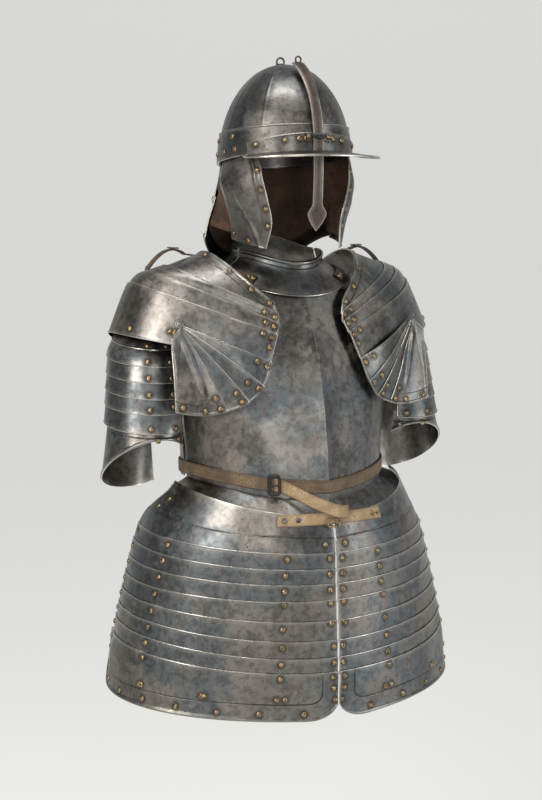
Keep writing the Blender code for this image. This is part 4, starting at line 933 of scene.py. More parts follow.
# %% [markdown]
# ## Shoulder plates
# Four plates arch over the shoulder, each edge a curve from its back end over the top to its front end.
# In front, three narrow plates and a broad end plate fan out from one bolt, so they open and close like a
# hand fan.

# %% Shoulders
def arch(k, t):
    """Between edges k of the table: from the back end at minus one over the top to the front at one."""
    knots = np.arange(5)
    share = np.sin(np.abs(t) * math.pi / 2)
    fall = 1 - np.cos(np.clip(np.abs(t), 0, 1) * math.pi / 2) ** ARCH_FALL
    spread_share = share ** ARCH_SPREAD
    top = [through(k, knots, PAULDRON[name]) for name in ("top_x", "top_f", "top_z")]
    front = [through(k, knots, PAULDRON[name]) for name in ("front_x", "front_f", "front_z")]
    back = [through(k, knots, PAULDRON[name]) for name in ("back_x", "back_f", "back_z")]
    end = [np.where(t > 0, one, two) for one, two in zip(front, back)]
    across = SHOULDER_REACH * (top[0] + (end[0] - top[0]) * spread_share)
    forward = PAULDRON_FRONT * (top[1] + (end[1] - top[1]) * share)
    return place(across, forward, -PAULDRON_DROP * (top[2] + (end[2] - top[2]) * fall))


def wing_point(angle, share):
    """The front wing at an angle below the inward line and a share of the way out from the bolt."""
    reach = WING_RADIUS * column(WING, "radius", angle) * share
    forward = PIVOT_FORWARD + WING_FORWARD * column(WING, "forward", angle) * np.sin(share * math.pi / 2)
    turn = np.radians(angle)
    return place(PIVOT_REACH - reach * np.cos(turn), forward, -PIVOT_DROP - reach * np.sin(turn))


def shoulder_relief(index):
    """A roll along the front and back borders, a lip on each upper edge, and a thick roll at the neck."""
    def lip(gaps):
        ends = np.minimum(gaps["left"], gaps["right"])
        made = bead(ends, *PLATE_ROLL)
        if index == 0:
            return np.maximum(made, bead(gaps["top"], *BORDER_ROLL))
        if index == 3:
            return np.maximum(made, bead(gaps["bottom"], *LOW_LIP)) + bead(gaps["top"], *LIP)
        return made + bead(gaps["top"], *LIP)
    return lip


SHOULDER_NAMES = ("pauldron_neck_plate", "pauldron_lame_2", "pauldron_lame_3", "pauldron_main")
BORDER_INSET = 0.0165
BOLT_STACK = 4 * LAME_WALL + 4 * LAME_GAP - LAME_WALL / 2
BOLT_SHARES = [(0.0, 0.0), (1.0, 0.0), (1.0, 0.25), (0.85, 0.5), (0.6, 0.55), (0.5, 0.9), (0.25, 1.0),
               (0.0, 1.0)]
BOLT_PROFILE = [(across * BOLT_RADIUS, up * BOLT_HEIGHT) for across, up in BOLT_SHARES]
for side, word in ((-1, "right"), (1, "left")):
    mirror = np.array([side, 1, 1])
    inside = (side * 0.17, 0, -0.16)
    group = f"pauldron_{word}"
    for index, name in enumerate(SHOULDER_NAMES):
        own, following = PAULDRON_LAPS[index], PAULDRON_LAPS[index + 1]
        knots, heights = [index + own, index + 1], [LAME_STEP * (own > 0), 0]
        if own > 0:
            knots.insert(0, index)
            heights.insert(0, LAME_STEP)
        if following > 0:
            knots.append(index + 1 + following)
            heights.append(0)
        rows = spread(knots[0], knots[-1], *((38, 0.06) if index in (0, 3) else (22, 0.12)))
        if index == 0:
            studs = [(("t", share), 0.0095) for share in (-0.25, 0.1, 0.4, 0.62, 0.82)]
            border = lambda gaps: np.abs(np.minimum(gaps["top"], gaps["right"]) - BORDER_INSET)
        else:
            places = (("right", STUD_INSET), ("left", STUD_INSET), ("right", 0.024))
            studs = [(across, 0.009) for across in places]
            border = lambda gaps: np.abs(gaps["right"] - BORDER_INSET)
        edges = ("top", "left", "right")
        if index == 3:
            studs += [(("right", STUD_INSET), 0.024), (("t", 0.18), -0.012), (("t", 0.38), -0.02),
                      (("t", 0.40), -0.02)]
            edges += ("bottom",)
        part = shell(lambda s, t: arch(s, t) * mirror, rows, spread(-0.96, 0.96, 111, 0.014),
                     np.interp(rows, knots, heights), LAME_WALL, inside, shoulder_relief(index), studs=studs,
                     group=group, edges=edges, border=border)
        dress(f"{name}_{word}_skin", "steel", [part], [f"{name}_{word}"])

    for index in range(4):
        begin, final = WING_EDGES[index], index == 3
        finish_angle = 99.0 if final else WING_EDGES[index + 1]

        def wing(s, t, begin=begin, finish_angle=finish_angle, final=final):
            """A plate of the fan: s turns from its upper edge to its lower, and t runs out from the bolt."""
            if final:
                reach = np.maximum(WING_RADIUS * 0.9 * t, 1e-4)
                end = 90 + np.degrees(np.arcsin(np.clip(WING_TAIL / reach, 0, 0.7)))
                angle = begin + WING_LAP * np.minimum(s, 1) + np.maximum(s - 1, 0) * (end - begin - WING_LAP)
            else:
                angle = begin + s
            return wing_point(angle, t) * mirror

        if final:
            knots, own_lift = [0, 1, 1.35, 1.7, 2.0], [1, 1, 0.6, 0.3, 0.0]
            rows = np.concatenate([np.linspace(0, 1, 7)[:-1], spread(1, 2, 42, 0.05)])
        else:
            width = finish_angle - begin
            knots = [0, WING_LAP, (WING_LAP + width) / 2, width, width + WING_LAP]
            own_lift = [1, 1, 0.5, 0, 0]
            rows = spread(0, width + WING_LAP, 22, 0.10)
        shares = spread(WING_HOLE / WING_RADIUS, 1, 66, 0.035)
        near = ease(1 - shares / 0.45)[None, :]
        rise = np.interp(rows, knots, own_lift)[:, None]
        lift = (LAME_WALL + LAME_GAP) * (near * (index + 1) + (1 - near) * rise)
        studs = [(("right", STUD_INSET), 0.010), (("right", 0.025), 0.010)]
        if final:
            studs += [(("right", STUD_INSET), 0.034), (("right", STUD_INSET), -0.012)]

        def wing_relief(gaps, final=final, begin=begin):
            """A roll round the outer border, a lip on the upper edge, and the end plate's raised ray."""
            made = np.maximum(bead(gaps["right"], *PLATE_ROLL), bead(gaps["top"], *FAN_LIP))
            if final:
                made = np.maximum(made, bead(gaps["bottom"], *FAN_HEM))
                ray = ridge((gaps["s"] - 1.22) * 0.09 * gaps["t"] / 0.6, 0.0020, 0.0050)
                made = made + ray * ease((gaps["t"] - 0.1) / 0.2) * ease((0.82 - gaps["t"]) / 0.2)
            return made

        name = "fan_end_plate" if final else f"fan_lame_{index + 1}"
        parts = [shell(wing, rows, shares, lift, LAME_WALL, (side * 0.17, 0.05, -0.16), wing_relief,
                       studs=studs, group=group, edges=("top", "right") + (("bottom",) if final else ()),
                       border=lambda gaps: np.abs(gaps["right"] - BORDER_INSET))]
        if final:
            axis = np.array([side * BOLT_LEAN_OUT, -1.0, BOLT_LEAN_UP])
            axis = axis / np.linalg.norm(axis)
            foot = np.array([side * PIVOT_REACH, -PIVOT_FORWARD, -PIVOT_DROP]) + axis * BOLT_STACK
            parts.append(turned(BOLT_PROFILE, foot, axis, 24))
        dress(f"{name}_{word}_skin", "steel", parts, [f"{name}_{word}"])


# %% [markdown]
# ## Upper arms
# Seven narrow plates hang on leathers, each outside the one below, and a flared cuff ends the arm. Here
# they are separate shells in one piece, because in the frame they are one stepped solid.

# %% Arms
def arm_axis(share):
    """Where the arm's centre line lies at a share of the arm's length."""
    return ARM_REACH + ARM_SPLAY * share, ARM_FORWARD + ARM_ADVANCE * share


def arm_surface(s, angle, side):
    """A circle round the arm's leaning centre line, narrower at the top, with its rings tilted forward."""
    turn = np.radians(angle)
    centre_x, centre_f = arm_axis(s)
    radius = ARM_RADIUS * (1 - ARM_TOP_NARROWING * (1 - ease(s / 0.35)))
    up = -ARM_TOP - ARM_LENGTH * s - ARM_TILT * np.sin(turn)
    return place(side * (centre_x + radius * np.cos(turn)), centre_f + radius * np.sin(turn), up)


ARM_LAP, LAME_RISE, ARM_WALL = 0.045, 0.0016, 0.0010
for side, word in ((-1, "right"), (1, "left")):
    inside = (side * ARM_REACH, 0, -0.2)
    parts = []
    for index, lower in enumerate(ARM_EDGES):
        upper = 0.0 if index == 0 else ARM_EDGES[index - 1] - ARM_LAP

        def lame(s, t):
            """The arm's surface over a little more than half a turn, wider round towards the elbow."""
            return arm_surface(s, (t * 2 - 1) * (97 + 22 * s) + 3, side)

        rows = np.concatenate([np.linspace(upper, lower - 0.02, 8), np.linspace(lower - 0.014, lower, 6)])
        lift = LAME_RISE * (rows - upper) / (lower - upper)
        studs = [(("t", share), -0.009) for share in (0.06, 0.80, 0.94)] if index else []
        parts.append(shell(lame, rows, spread(0, 1, 71, 0.02), lift, ARM_WALL, inside,
                           lambda gaps: bead(gaps["bottom"], *ARM_LIP), studs=studs, group=f"arm_{word}",
                           edges=("bottom", "left", "right")))
    dress(f"arm_lames_{word}_skin", "steel", parts, [f"arm_lames_{word}"])

    def cuff(s, t):
        """A ring that flares and is cut longer outside than inside the elbow."""
        turn = np.radians((t * 2 - 1) * (122 + 10 * s) + 4)
        edge = ARM_TOP + ARM_LENGTH + ARM_TILT * np.sin(turn)
        rim = ARM_TOP + ARM_LENGTH + CUFF_LENGTH - CUFF_TILT * np.sin(turn)
        drop = edge - CUFF_TUCK + s * (rim - edge + CUFF_TUCK)
        below = np.clip((drop - edge) / (CUFF_LENGTH + CUFF_TILT), 0, 1)
        centre_x, centre_f = arm_axis((drop - ARM_TOP) / ARM_LENGTH)
        radius = ARM_RADIUS * (CUFF_TOP_SHARE + CUFF_FLARE * below ** 1.2)
        return place(side * (centre_x + radius * np.cos(turn)), centre_f + radius * np.sin(turn), -drop)

    part = shell(cuff, spread(0, 1, 34, 0.08), spread(0, 1, 91, 0.02), 0.0, LAME_WALL, inside,
                 lambda gaps: bead(gaps["bottom"], *CUFF_ROLL), edges=("bottom", "left", "right"),
                 studs=[(("t", share), 0.021) for share in (0.05, 0.80, 0.95)], group=f"arm_{word}",
                 border=lambda gaps: np.abs(gaps["top"] - BORDER_INSET))
    dress(f"arm_cuff_{word}_skin", "steel", [part], [f"arm_cuff_{word}"])


# %% [markdown]
# ## Helmet
# The bowl is half an egg with flutes that run up to the crown. A band is riveted round its foot, and over
# that the peak, which is one plate: a standing flange that turns out sharply into the brim.

# %% Helmet
def rim_height(turn):
    """The height of the helmet's rim, which is pitched up towards the front."""
    return HELMET_RIM + RIM_PITCH * np.cos(turn)


def bowl(height, angle, grow=0.0):
    """Half an ellipsoid: the radius shrinks as the root of one less the height's square."""
    turn = np.radians(angle)
    depth = np.where(np.cos(turn) > 0, HELMET_FRONT, HELMET_BACK)
    radius = np.sqrt(np.maximum(1 - np.clip(height, 0, 1) ** 2, 0))
    across = (HELMET_HALF_WIDTH + grow) * radius * np.sin(turn)
    forward = HELMET_FORWARD + (depth + grow) * radius * np.cos(turn)
    up = rim_height(turn) + (HELMET_RIM + BOWL_HEIGHT - rim_height(turn)) * height
    return place(across, forward, up)


FLUTES = (48, 69, 90, 111, 132, 153, 180, 207, 228, 249, 270, 291, 312)
FLUTE_HEIGHT, FLUTE_WIDTH, FLUTE_START, FLUTE_END = 0.0006, 0.0013, 0.28, 0.985
BAND_UPPER_STUDS = (75, 92, 110, 130, 150, 170, 190, 210, 230, 250, 268, 285)
BAND_LOWER_STUDS = (80, 110, 140, 180, 220, 250, 280)
FLANGE_STUDS = (-0.88, -0.47, -0.27, -0.16, 0.16, 0.27, 0.47, 0.88)


def flutes(gaps):
    """Narrow ridges at fixed angles, which fade near the crown where they would meet."""
    radius = HELMET_HALF_WIDTH * np.sqrt(np.maximum(1 - gaps["s"] ** 2, 0))
    height = np.zeros(gaps["s"].shape)
    for angle in FLUTES:
        off = np.radians((gaps["t"] - angle + 180) % 360 - 180) * radius
        height = height + ridge(off, FLUTE_HEIGHT, FLUTE_WIDTH)
    return height * ease((FLUTE_END - gaps["s"]) / 0.1) * ease((gaps["s"] - FLUTE_START) / 0.06)


def band_relief(gaps):
    """A bold roll along the band's upper edge, where the brow stands out, and a lip along its foot."""
    return bead(gaps["bottom"], *BAND_FOOT) + bead(gaps["top"], *BAND_TOP)


def ring(count):
    """Angles round a full turn."""
    return np.arange(count) * 360 / count


bowl_inside = (0, -HELMET_FORWARD, HELMET_RIM)
heights = np.sin(np.linspace(0, 90, 58) * math.pi / 180)
skull = shell(bowl, heights, ring(270), 0.0, HELMET_WALL, bowl_inside, flutes, True, edges=("top",))
studs = [(("t", angle), 0.011) for angle in BAND_UPPER_STUDS]
studs += [(("t", angle), -0.012) for angle in BAND_LOWER_STUDS]
band = shell(bowl, spread(0, BAND_HEIGHT / BOWL_HEIGHT, 24, 0.09), ring(240), HELMET_WALL + FIT_GAP,
             HELMET_WALL, bowl_inside, band_relief, True, edges=("top", "bottom"), studs=studs,
             group="helmet")


def peak(s, t):
    """Down the flange, then out and slightly down along the brim, which narrows to both ends."""
    angle = t * PEAK_ANGLE
    turn = np.radians(angle)
    base = bowl(np.clip(1 - s, 0, 1) * FLANGE_HEIGHT / BOWL_HEIGHT * (1 - 0.35 * t ** 2), angle, FLANGE_LIFT)
    out = np.clip(s - 1, 0, 1)
    reach = PEAK_REACH * (1 - 0.75 * np.abs(t) ** 6)
    moved = base + place(np.sin(turn), np.cos(turn), 0 * turn) * (out * reach)[..., None]
    moved[..., 2] -= PEAK_DROOP * out ** 1.5 * reach / PEAK_REACH
    return moved


def peak_relief(gaps):
    """A roll along the brim's rim and a raised lip round the flange."""
    return bead(gaps["bottom"], *BRIM_ROLL) + bead(gaps["top"], *FLANGE_TOP)


bend_rows = [0.97, 0.985, 1.0, 1.015, 1.03]
peak_rows = np.concatenate([spread(0, 0.95, 18, 0.1), bend_rows, spread(1.06, 2, 30, 0.08)])
studs = [(("t", share), 0.009) for share in FLANGE_STUDS]
brim = shell(peak, peak_rows, spread(-1, 1, 131, 0.02), 0.0, HELMET_WALL,
             (0, -HELMET_FORWARD, HELMET_RIM - 0.03), peak_relief, studs=studs, group="helmet")


# %% [markdown]
# ## Small turned and bent pieces
# Rivets, rings and buckles are everywhere on armour. A profile turned round an axis makes the rivets and
# the bolt, and a wire swept along a path makes rings and buckles. Both close themselves, so they have no
# open ends.

# %% Crown staple, and the helmet's three pieces
crown = np.array([0.0, -(HELMET_FORWARD - RING_SETBACK), HELMET_RIM + BOWL_HEIGHT - RING_DIP])
arc = np.radians(np.linspace(-62, 242, 40))
loop_path = crown + np.stack([RING_RADIUS * np.cos(arc), 0 * arc, RING_RADIUS * (0.9 + np.sin(arc))], axis=1)
post = [(0.0, -0.001), (0.0085, -0.001), (0.0085, 0.0012), (0.0062, 0.0022), (0.0040, 0.0036), (0.0, 0.0038)]
staple = [turned(post, crown, (0, 0, 1), 28), wire(loop_path, RING_WIRE, 12, False)]
dress("helmet_bowl", "helmet", [skull, *staple], ["helmet_skull"])
dress("brow_band_skin", "helmet", [band], ["brow_band"])
dress("peak_skin", "helmet", [brim], ["helmet_peak"])


# %% [markdown]
# ## Cheek pieces and neck guard
# The cheeks hang on leather from the bowl. Each has two raised lines and, behind, a group of small holes
# to hear through. The neck guard is two dark lames whose upper edges rise to points, over worn brown
# leather.

# %% Hangings
def cheek_point(s, angle, side, sink=0.0):
    """A cheek's skin at a share down from the rim and an angle from the front."""
    turn = np.radians(angle)
    width = (HELMET_HALF_WIDTH * column(CHEEK, "width", s) - sink) * np.sin(turn)
    depth = np.where(np.cos(turn) > 0, HELMET_FRONT, HELMET_BACK)
    forward = HELMET_FORWARD + (depth * column(CHEEK, "depth", s) - sink) * np.cos(turn)
    drop = (CHEEK_LENGTH - CHEEK_REAR_RISE * np.clip((angle - 50) / 50, 0, 1)) * s
    return place(side * width, forward, rim_height(turn) + CHEEK_TUCK - drop)


def tail_point(s, angle, sink=0.0):
    """The neck guard's skin, which flares from under the rim at the back down to the collar."""
    turn = np.radians(angle)
    flare = TAIL_FLARE * ease(s) + 0.010 * s ** 2
    width = (HELMET_HALF_WIDTH * TAIL_TUCK + flare * 0.75 - sink) * np.sin(turn)
    forward = HELMET_FORWARD + (HELMET_BACK * TAIL_TUCK + flare - sink) * np.cos(turn)
    middle = 1 - np.abs(1 - np.clip((angle - TAIL_ANGLE) / (180 - TAIL_ANGLE), 0, 2))
    length = TAIL_LENGTH + TAIL_DIP * ease(middle * 1.2)
    return place(width, forward, rim_height(turn) + CHEEK_TUCK - length * s)


def cheek_relief(gaps):
    """A rolled border, a raised line along the front edge, and one that runs down and forward."""
    rim = np.minimum(np.minimum(gaps["left"], gaps["right"]), gaps["bottom"])
    along = ridge(gaps["left"] - 0.012, *CHEEK_LINE)
    along = along * ease(gaps["top"] / 0.01) * ease(gaps["bottom"] / 0.03)
    slant = ridge((gaps["right"] - 0.008) - (gaps["s"] - 0.30) * 0.085, *CHEEK_LINE)
    slant = slant * ease((gaps["s"] - 0.25) / 0.08)
    dent = ridge(np.hypot(gaps["right"] - 0.034, gaps["top"] - 0.036), 0.0012, 0.006)
    return bead(rim, *CHEEK_ROLL) + np.maximum(along, slant * ease(gaps["left"] / 0.02)) - dent


under_helmet = (0, -HELMET_FORWARD, 0.08)
for side, word in ((-1, "right"), (1, "left")):
    def cheek(s, t):
        """Between the front and the back angle of each row of the table."""
        start = column(CHEEK, "front_angle", s)
        return cheek_point(s, start + t * (column(CHEEK, "back_angle", s) - start), side)

    studs = [(("left", 0.0075), down) for down in (0.030, 0.062, 0.092, 0.118)]
    studs += [(("t", 0.45), -0.008), (("right", 0.008), -0.012)]
    # These hearing holes are not cut: the steel paints each near black as the shade inside it.
    holes = [(("right", 0.010 + 0.006 * (index % 2)), 0.036 + 0.0045 * index) for index in range(6)]
    part = shell(cheek, spread(0, 1, 66, 0.05), spread(0, 1, 56, 0.08), 0.0, HELMET_WALL, under_helmet,
                 cheek_relief, studs=studs, group="helmet", holes=holes)
    dress(f"cheek_{word}_skin", "helmet", [part], [f"cheek_{word}"])

tail_angles = np.linspace(TAIL_ANGLE, 360 - TAIL_ANGLE, 91)
for index, (top, low, lift) in enumerate(((0.0, 0.52, 0.0), (0.46, 1.0, -LAME_STEP))):
    part = shell(tail_point, spread(top, low, 26, 0.1), tail_angles, lift, LAME_WALL, under_helmet,
                 lambda gaps: bead(gaps["bottom"], *THIN_ROLL),
                 studs=[(("t", angle), -0.008, "iron") for angle in (120, 150, 180, 210, 240)], group="neck")
    dress(f"neck_lame_{index + 1}_skin", "dark", [part], [f"neck_lame_{index + 1}"])


def leather(s, t):
    """Under the cheeks at the sides and under the neck guard behind, blended by the angle."""
    angle = 62 + t * 236
    mirrored = np.where(angle > 180, 360 - angle, angle)
    side = np.where(angle > 180, -1, 1)
    back = tail_point(s * 0.9, mirrored, 3.1 * (LAME_WALL + LAME_GAP))
    cheek_skin = cheek_point(s, mirrored, 1, HELMET_WALL + 4 * FIT_GAP)
    blend_share = ease((mirrored - 98) / 18)[..., None]
    found = cheek_skin * (1 - blend_share) + back * blend_share
    found[..., 0] = found[..., 0] * side
    return found


part = shell(leather, spread(0.02, 0.93, 30), spread(0, 1, 111), 0.0, LINING_WALL, under_helmet)
dress("neck_leather_skin", "lining", [part], ["neck_leather"])


# %% [markdown]
# ## Face bar
# The bar slides in a staple on the peak and a wing screw holds it. It widens into a leaf that guards the
# mouth. It belongs to its own body, so that it can rise with its joint, and the screw to another, so that
# it can turn.

# %% Nasal bar, staple and wing screw
ARC_FOOT = 0.012
rim_top = rim_height(0.0)
inner_front = HELMET_FORWARD + HELMET_FRONT + FLANGE_LIFT + BAR_GAP


def bar(s, t):
    """Down the bar: an arc over the bowl, a straight run past the peak, and the leaf at the end."""
    arc = np.radians(BAR_ARC) * np.clip(1 - s, 0, 1)
    forward = HELMET_FORWARD + (inner_front - HELMET_FORWARD) * np.cos(arc)
    crown_rise = HELMET_RIM + BOWL_HEIGHT - rim_top + FLANGE_LIFT + BAR_GAP - 0.006
    high = rim_top + ARC_FOOT + crown_rise * np.sin(arc)
    up = high - np.clip(s - 1, 0, 1) * (rim_top + ARC_FOOT - LEAF_DROP)
    leaf = np.clip((LEAF_DROP + LEAF_HEIGHT - up) / LEAF_HEIGHT, 0, 1)
    leaf_half = LEAF_WIDTH / 2 * through(leaf, [0, 0.25, 0.5, 0.72, 1], [0.5, 0.56, 1.0, 0.72, 0.03])
    half = np.where(leaf > 0, leaf_half, BAR_WIDTH / 2 * (1 + 0.25 * np.clip((0.6 - s) / 0.6, 0, 1)))
    lean = BAR_LEAN * np.clip((rim_top - 0.01 - up) / (rim_top - 0.01 - LEAF_DROP), 0, 1) ** 2.5
    return place(half * t, forward + BAR_THICKNESS - lean, up)


def bar_relief(gaps):
    """Edges that fall away, and a low keel down the lower part of the bar."""
    side = np.minimum(gaps["left"], gaps["right"])
    keel = ridge(gaps["t"] * 0.012, 0.0009, 0.003) * ease((gaps["s"] - 1.5) / 0.1)
    return -0.0008 * ease(1 - side / 0.003) + keel


bar_rows = np.concatenate([np.linspace(0, 1, 40)[:-1], np.linspace(1, 2, 90)])
part = shell(bar, bar_rows, spread(-1, 1, 31, 0.05), 0.0, BAR_THICKNESS, (0, 0, 0.1), bar_relief)
eye_centre = bar(np.array(0.015), np.array(0.0)) + np.array([0, 0.001, 0.0045])
turn = np.arange(32) * 2 * math.pi / 32
eye = eye_centre + np.stack([0.0048 * np.cos(turn), 0 * turn, 0.0048 * np.sin(turn)], axis=1)
dress("nasal_bar_skin", "rusty", [part, wire(eye, 0.0014, 10, True)], ["nasal_bar"], "nasal")

half = BAR_WIDTH / 2 + 0.001
low = rim_top + 0.014
back = inner_front - BAR_GAP + FIT_GAP
bridge = inner_front + BAR_THICKNESS + FIT_GAP
outline = [(-0.020, back), (-half, back), (-half, bridge), (half, bridge), (half, back), (0.020, back),
           (0.020, back + 0.0018), (half + 0.002, back + 0.0018), (half + 0.002, bridge + 0.002),
           (-half - 0.002, bridge + 0.002), (-half - 0.002, back + 0.0018), (-0.020, back + 0.0018)]
outline = np.array([(x, -f, 0.0) for x, f in outline])
staple = block(outline, (0, 0, 1), low, low + BRACKET_HEIGHT, 0.0004)
dress("nasal_bracket_skin", "helmet", [staple], ["nasal_bracket"])
screw_spot = np.array([0.0, -bridge, low + BRACKET_HEIGHT / 2])
stem = SCREW_RADIUS * 0.96
shaft = [(0.0, 0.0001), (stem, 0.0001), (stem, 0.0026), (0.0045, 0.0028), (0.0045, 0.0040),
         (0.0026, 0.0052), (0.0026, 0.0078), (0.0, 0.0080)]
fin = [(-1.0, -0.001), (-0.4, -0.0035), (0.4, -0.0035), (1.0, -0.001),
       (1.0, 0.004), (0.3, 0.0025), (-0.3, 0.0025), (-1.0, 0.004)]
STUDS.setdefault(("helmet", "brass"), []).extend(
    (np.array([side * 0.0165, -back - 0.0018, low + BRACKET_HEIGHT / 2]), np.array([0.0, -1.0, 0.0]))
    for side in (-1, 1))
fin = screw_spot + np.array([(share * SCREW_WING, 0.0, z) for share, z in fin])
screw_parts = [turned(shaft, screw_spot, (0, -1, 0), 24), block(fin, (0, -1, 0), 0.0058, 0.0084, 0.0003)]
dress("wing_screw_skin", "dark", screw_parts, ["wing_screw"], "screw")


# %% [markdown]
# ## Belt
# One strap runs round the waist, through a plain iron buckle, and its spare end hangs away in a curve. It
# is a ribbon over the torso's own surface, so the belt bends over the keel as the leather would.

# %% Belt and buckle
FIRST_HOLE, HOLE_STEP = 0.016, 0.014


def belt_surface(s, t):
    """Once round the torso at the belt's height, then the tongue, which stands out and falls."""
    tongue = np.clip(t - 1, 0, 1)
    tongue_turn = tongue * TONGUE_LENGTH / (TORSO_HALF_WIDTH * BELT_TURN_SHARE)
    angle = BUCKLE_ANGLE + np.clip(t, 0, 1) * 360 + np.degrees(tongue_turn)
    turn = np.radians(angle)
    front = np.maximum(np.cos(turn), 0) ** 2
    drop = BELT_SIDE_DROP + (BELT_FRONT_DROP - BELT_SIDE_DROP) * front
    drop = drop + TONGUE_FALL * ease(tongue) + (s - 0.5) * BELT_WIDTH
    waist = WAIST_SIDE_DROP + (WAIST_FRONT_DROP - WAIST_SIDE_DROP) * front
    points = torso(np.clip((drop - TORSO_TOP) / (waist - TORSO_TOP), 0, 1), angle)
    points[..., 2] = -drop
    over = (LEATHER_WALL + BELT_GAP) * ease((t - OVERLAP_START) / OVERLAP_RISE)
    over = over + TONGUE_STAND * ease((tongue - TONGUE_RISE_START) * 1.8)
    return points + place(np.sin(turn), np.cos(turn), 0 * turn) * over[..., None]


def strap_relief(gaps):
    """Rounded edges and a pressed line along both sides of a strap."""
    rim = np.minimum(gaps["top"], gaps["bottom"])
    return -0.0008 * ease(1 - rim / 0.0016) - ridge(rim - 0.0030, 0.0003, 0.0006)


belt_rows = spread(0, 1, 19, 0.16)
belt_lift, waist_middle = BELT_GAP + LEATHER_WALL, (0, 0, -0.34)
punched = [(("right", FIRST_HOLE + HOLE_STEP * index), BELT_WIDTH / 2) for index in range(5)]
body_part = shell(belt_surface, belt_rows, np.linspace(0, 1, 320), belt_lift, LEATHER_WALL, waist_middle,
                  strap_relief)
tip = shell(belt_surface, belt_rows, np.linspace(1, 2, 60), belt_lift, LEATHER_WALL, waist_middle,
            strap_relief, holes=punched)
dress("belt_band", "belt", [body_part], ["waist_belt"])
dress("belt_tongue", "tan", [tip], [])
centre = torso(np.array(0.93), np.array(BUCKLE_ANGLE))
turn = math.radians(BUCKLE_ANGLE)
along = np.array([math.cos(turn), math.sin(turn), 0.0])
out = np.array([math.sin(turn), -math.cos(turn), 0.0])
stand = centre + out * (2 * LEATHER_WALL + 3 * BELT_GAP + BUCKLE_BAR)
stand[2] = -(BELT_SIDE_DROP + (BELT_FRONT_DROP - BELT_SIDE_DROP) * math.cos(turn) ** 2)
half_high = BELT_WIDTH / 2 + BUCKLE_MARGIN
frame_path = stand + rounded_frame(BUCKLE_WIDTH / 2, half_high, BUCKLE_MARGIN, along, np.array([0, 0, 1.0]))
prong = stand + np.linspace(-1, 1, 12)[:, None] * along * (BUCKLE_WIDTH / 2 + 0.001) + out * 0.0012
dress("belt_buckle_skin", "dark", [wire(frame_path, BUCKLE_BAR, 12, True), wire(prong, 0.0012, 10, False)],
      ["belt_buckle"])


# %% [markdown]
# ## Straps
# A pale strap joins the two skirts over the split. Shoulder straps lie on the collar, and a loop on each
# side hangs the shoulder plates from it.

# %% Tasset strap, shoulder straps and loops
def tasset_strap(s, t):
    """A level band over the skirt's surface."""
    return skirt(t * TASSET_STRAP_REACH, TASSET_STRAP_DROP + (s - 0.5) * TASSET_STRAP_WIDTH)


strap_rows = spread(0, 1, 19, 0.16)
strap_lift = LEATHER_WALL + BELT_GAP
strap_middle = TASSET_STRAP_WIDTH / 2
studs = [(("t", share), strap_middle) for share in (0.80, 0.92)]
studs += [(("t", share), strap_middle, "iron") for share in (-0.88, -0.64)]
punched = [(("t", share), strap_middle) for share in (0.30, 0.44, 0.58)]
part = shell(tasset_strap, strap_rows, np.linspace(-1, 1, 110), strap_lift, LEATHER_WALL, (0, 0, -0.4),
             strap_relief, studs=studs, group="straps", holes=punched)
keeper = shell(tasset_strap, strap_rows, np.linspace(0.02, 0.13, 24), strap_lift + 0.0019, 0.0018,
               (0, 0, -0.4), strap_relief)
dress("tasset_strap_skin", "tan", [part, keeper], ["tasset_strap"])
middle = skirt(np.array(-0.5), np.array(TASSET_STRAP_DROP)) + np.array([0, -(strap_lift + 0.0032), 0])
frame_path = middle + rounded_frame(0.0105, 0.0118, 0.003, np.array([1.0, 0, 0]), np.array([0, 0, 1.0]))
prong = middle + np.linspace(-1, 1, 12)[:, None] * np.array([0.0105, 0, 0]) + np.array([0, -0.001, 0])
dress("tasset_buckle", "brass", [wire(frame_path, 0.0015, 10, True), wire(prong, 0.0010, 8, False)], [])

for side, word in ((-1, "right"), (1, "left")):
    mirror = np.array([side, 1, 1])

    def shoulder(s, angle):
        """A band that lies on the collar between its foot and its lower edge."""
        share = (STRAP_INNER + (STRAP_OUTER - STRAP_INNER) * s)[..., None]
        upper = gorget(np.full_like(s, GORGET_FOOT), angle)
        return (upper + (gorget(np.ones_like(s), angle) - upper) * share) * mirror

    part = shell(shoulder, strap_rows, np.linspace(46, 134, 90), LEATHER_WALL + 3 * FIT_GAP, LEATHER_WALL,
                 neck, strap_relief, studs=[(("t", angle), 0.008) for angle in (47.5, 52)], group="straps")
    dress(f"shoulder_strap_{word}_skin", "leather", [part], [f"shoulder_strap_{word}"])

    def loop(s, t):
        """A ribbon that lies along the neck plate, rises in a loop and comes down on the shoulder plate."""
        rise = LOOP_HEIGHT * np.sin(math.pi * np.clip(t, 0, 1)) ** 0.8
        fall = np.where(t > 0, LOOP_FALL * t, -0.0005 - 0.009 * t)
        forward = LOOP_FORWARD + (s - 0.5) * LOOP_WIDTH
        return place(side * (LOOP_START + LOOP_REACH * t), forward, rise - fall)

    part = shell(loop, strap_rows, np.linspace(-0.3, 1, 78), 0.0, LEATHER_WALL, (side * 0.15, 0, -0.08),
                 strap_relief, studs=[(("right", 0.005), 0.007, "iron")], group="straps")
    dress(f"pauldron_strap_{word}_skin", "leather", [part], [f"pauldron_strap_{word}"])
    spot = loop(np.array(0.5), np.array(0.30))
    ahead = loop(np.array(0.5), np.array(0.34)) - loop(np.array(0.5), np.array(0.26))
    ahead = ahead / np.linalg.norm(ahead)
    up = np.cross(ahead, [0, 1.0, 0])
    up = up * np.sign(up[2])
    half_high = LOOP_WIDTH / 2 + 0.002
    frame_path = spot + up * 0.0014 + rounded_frame(0.0056, half_high, 0.002, ahead, np.array([0, 1.0, 0]))
    dress(f"loop_buckle_{word}", "iron", [wire(frame_path, 0.0013, 10, True)], [])


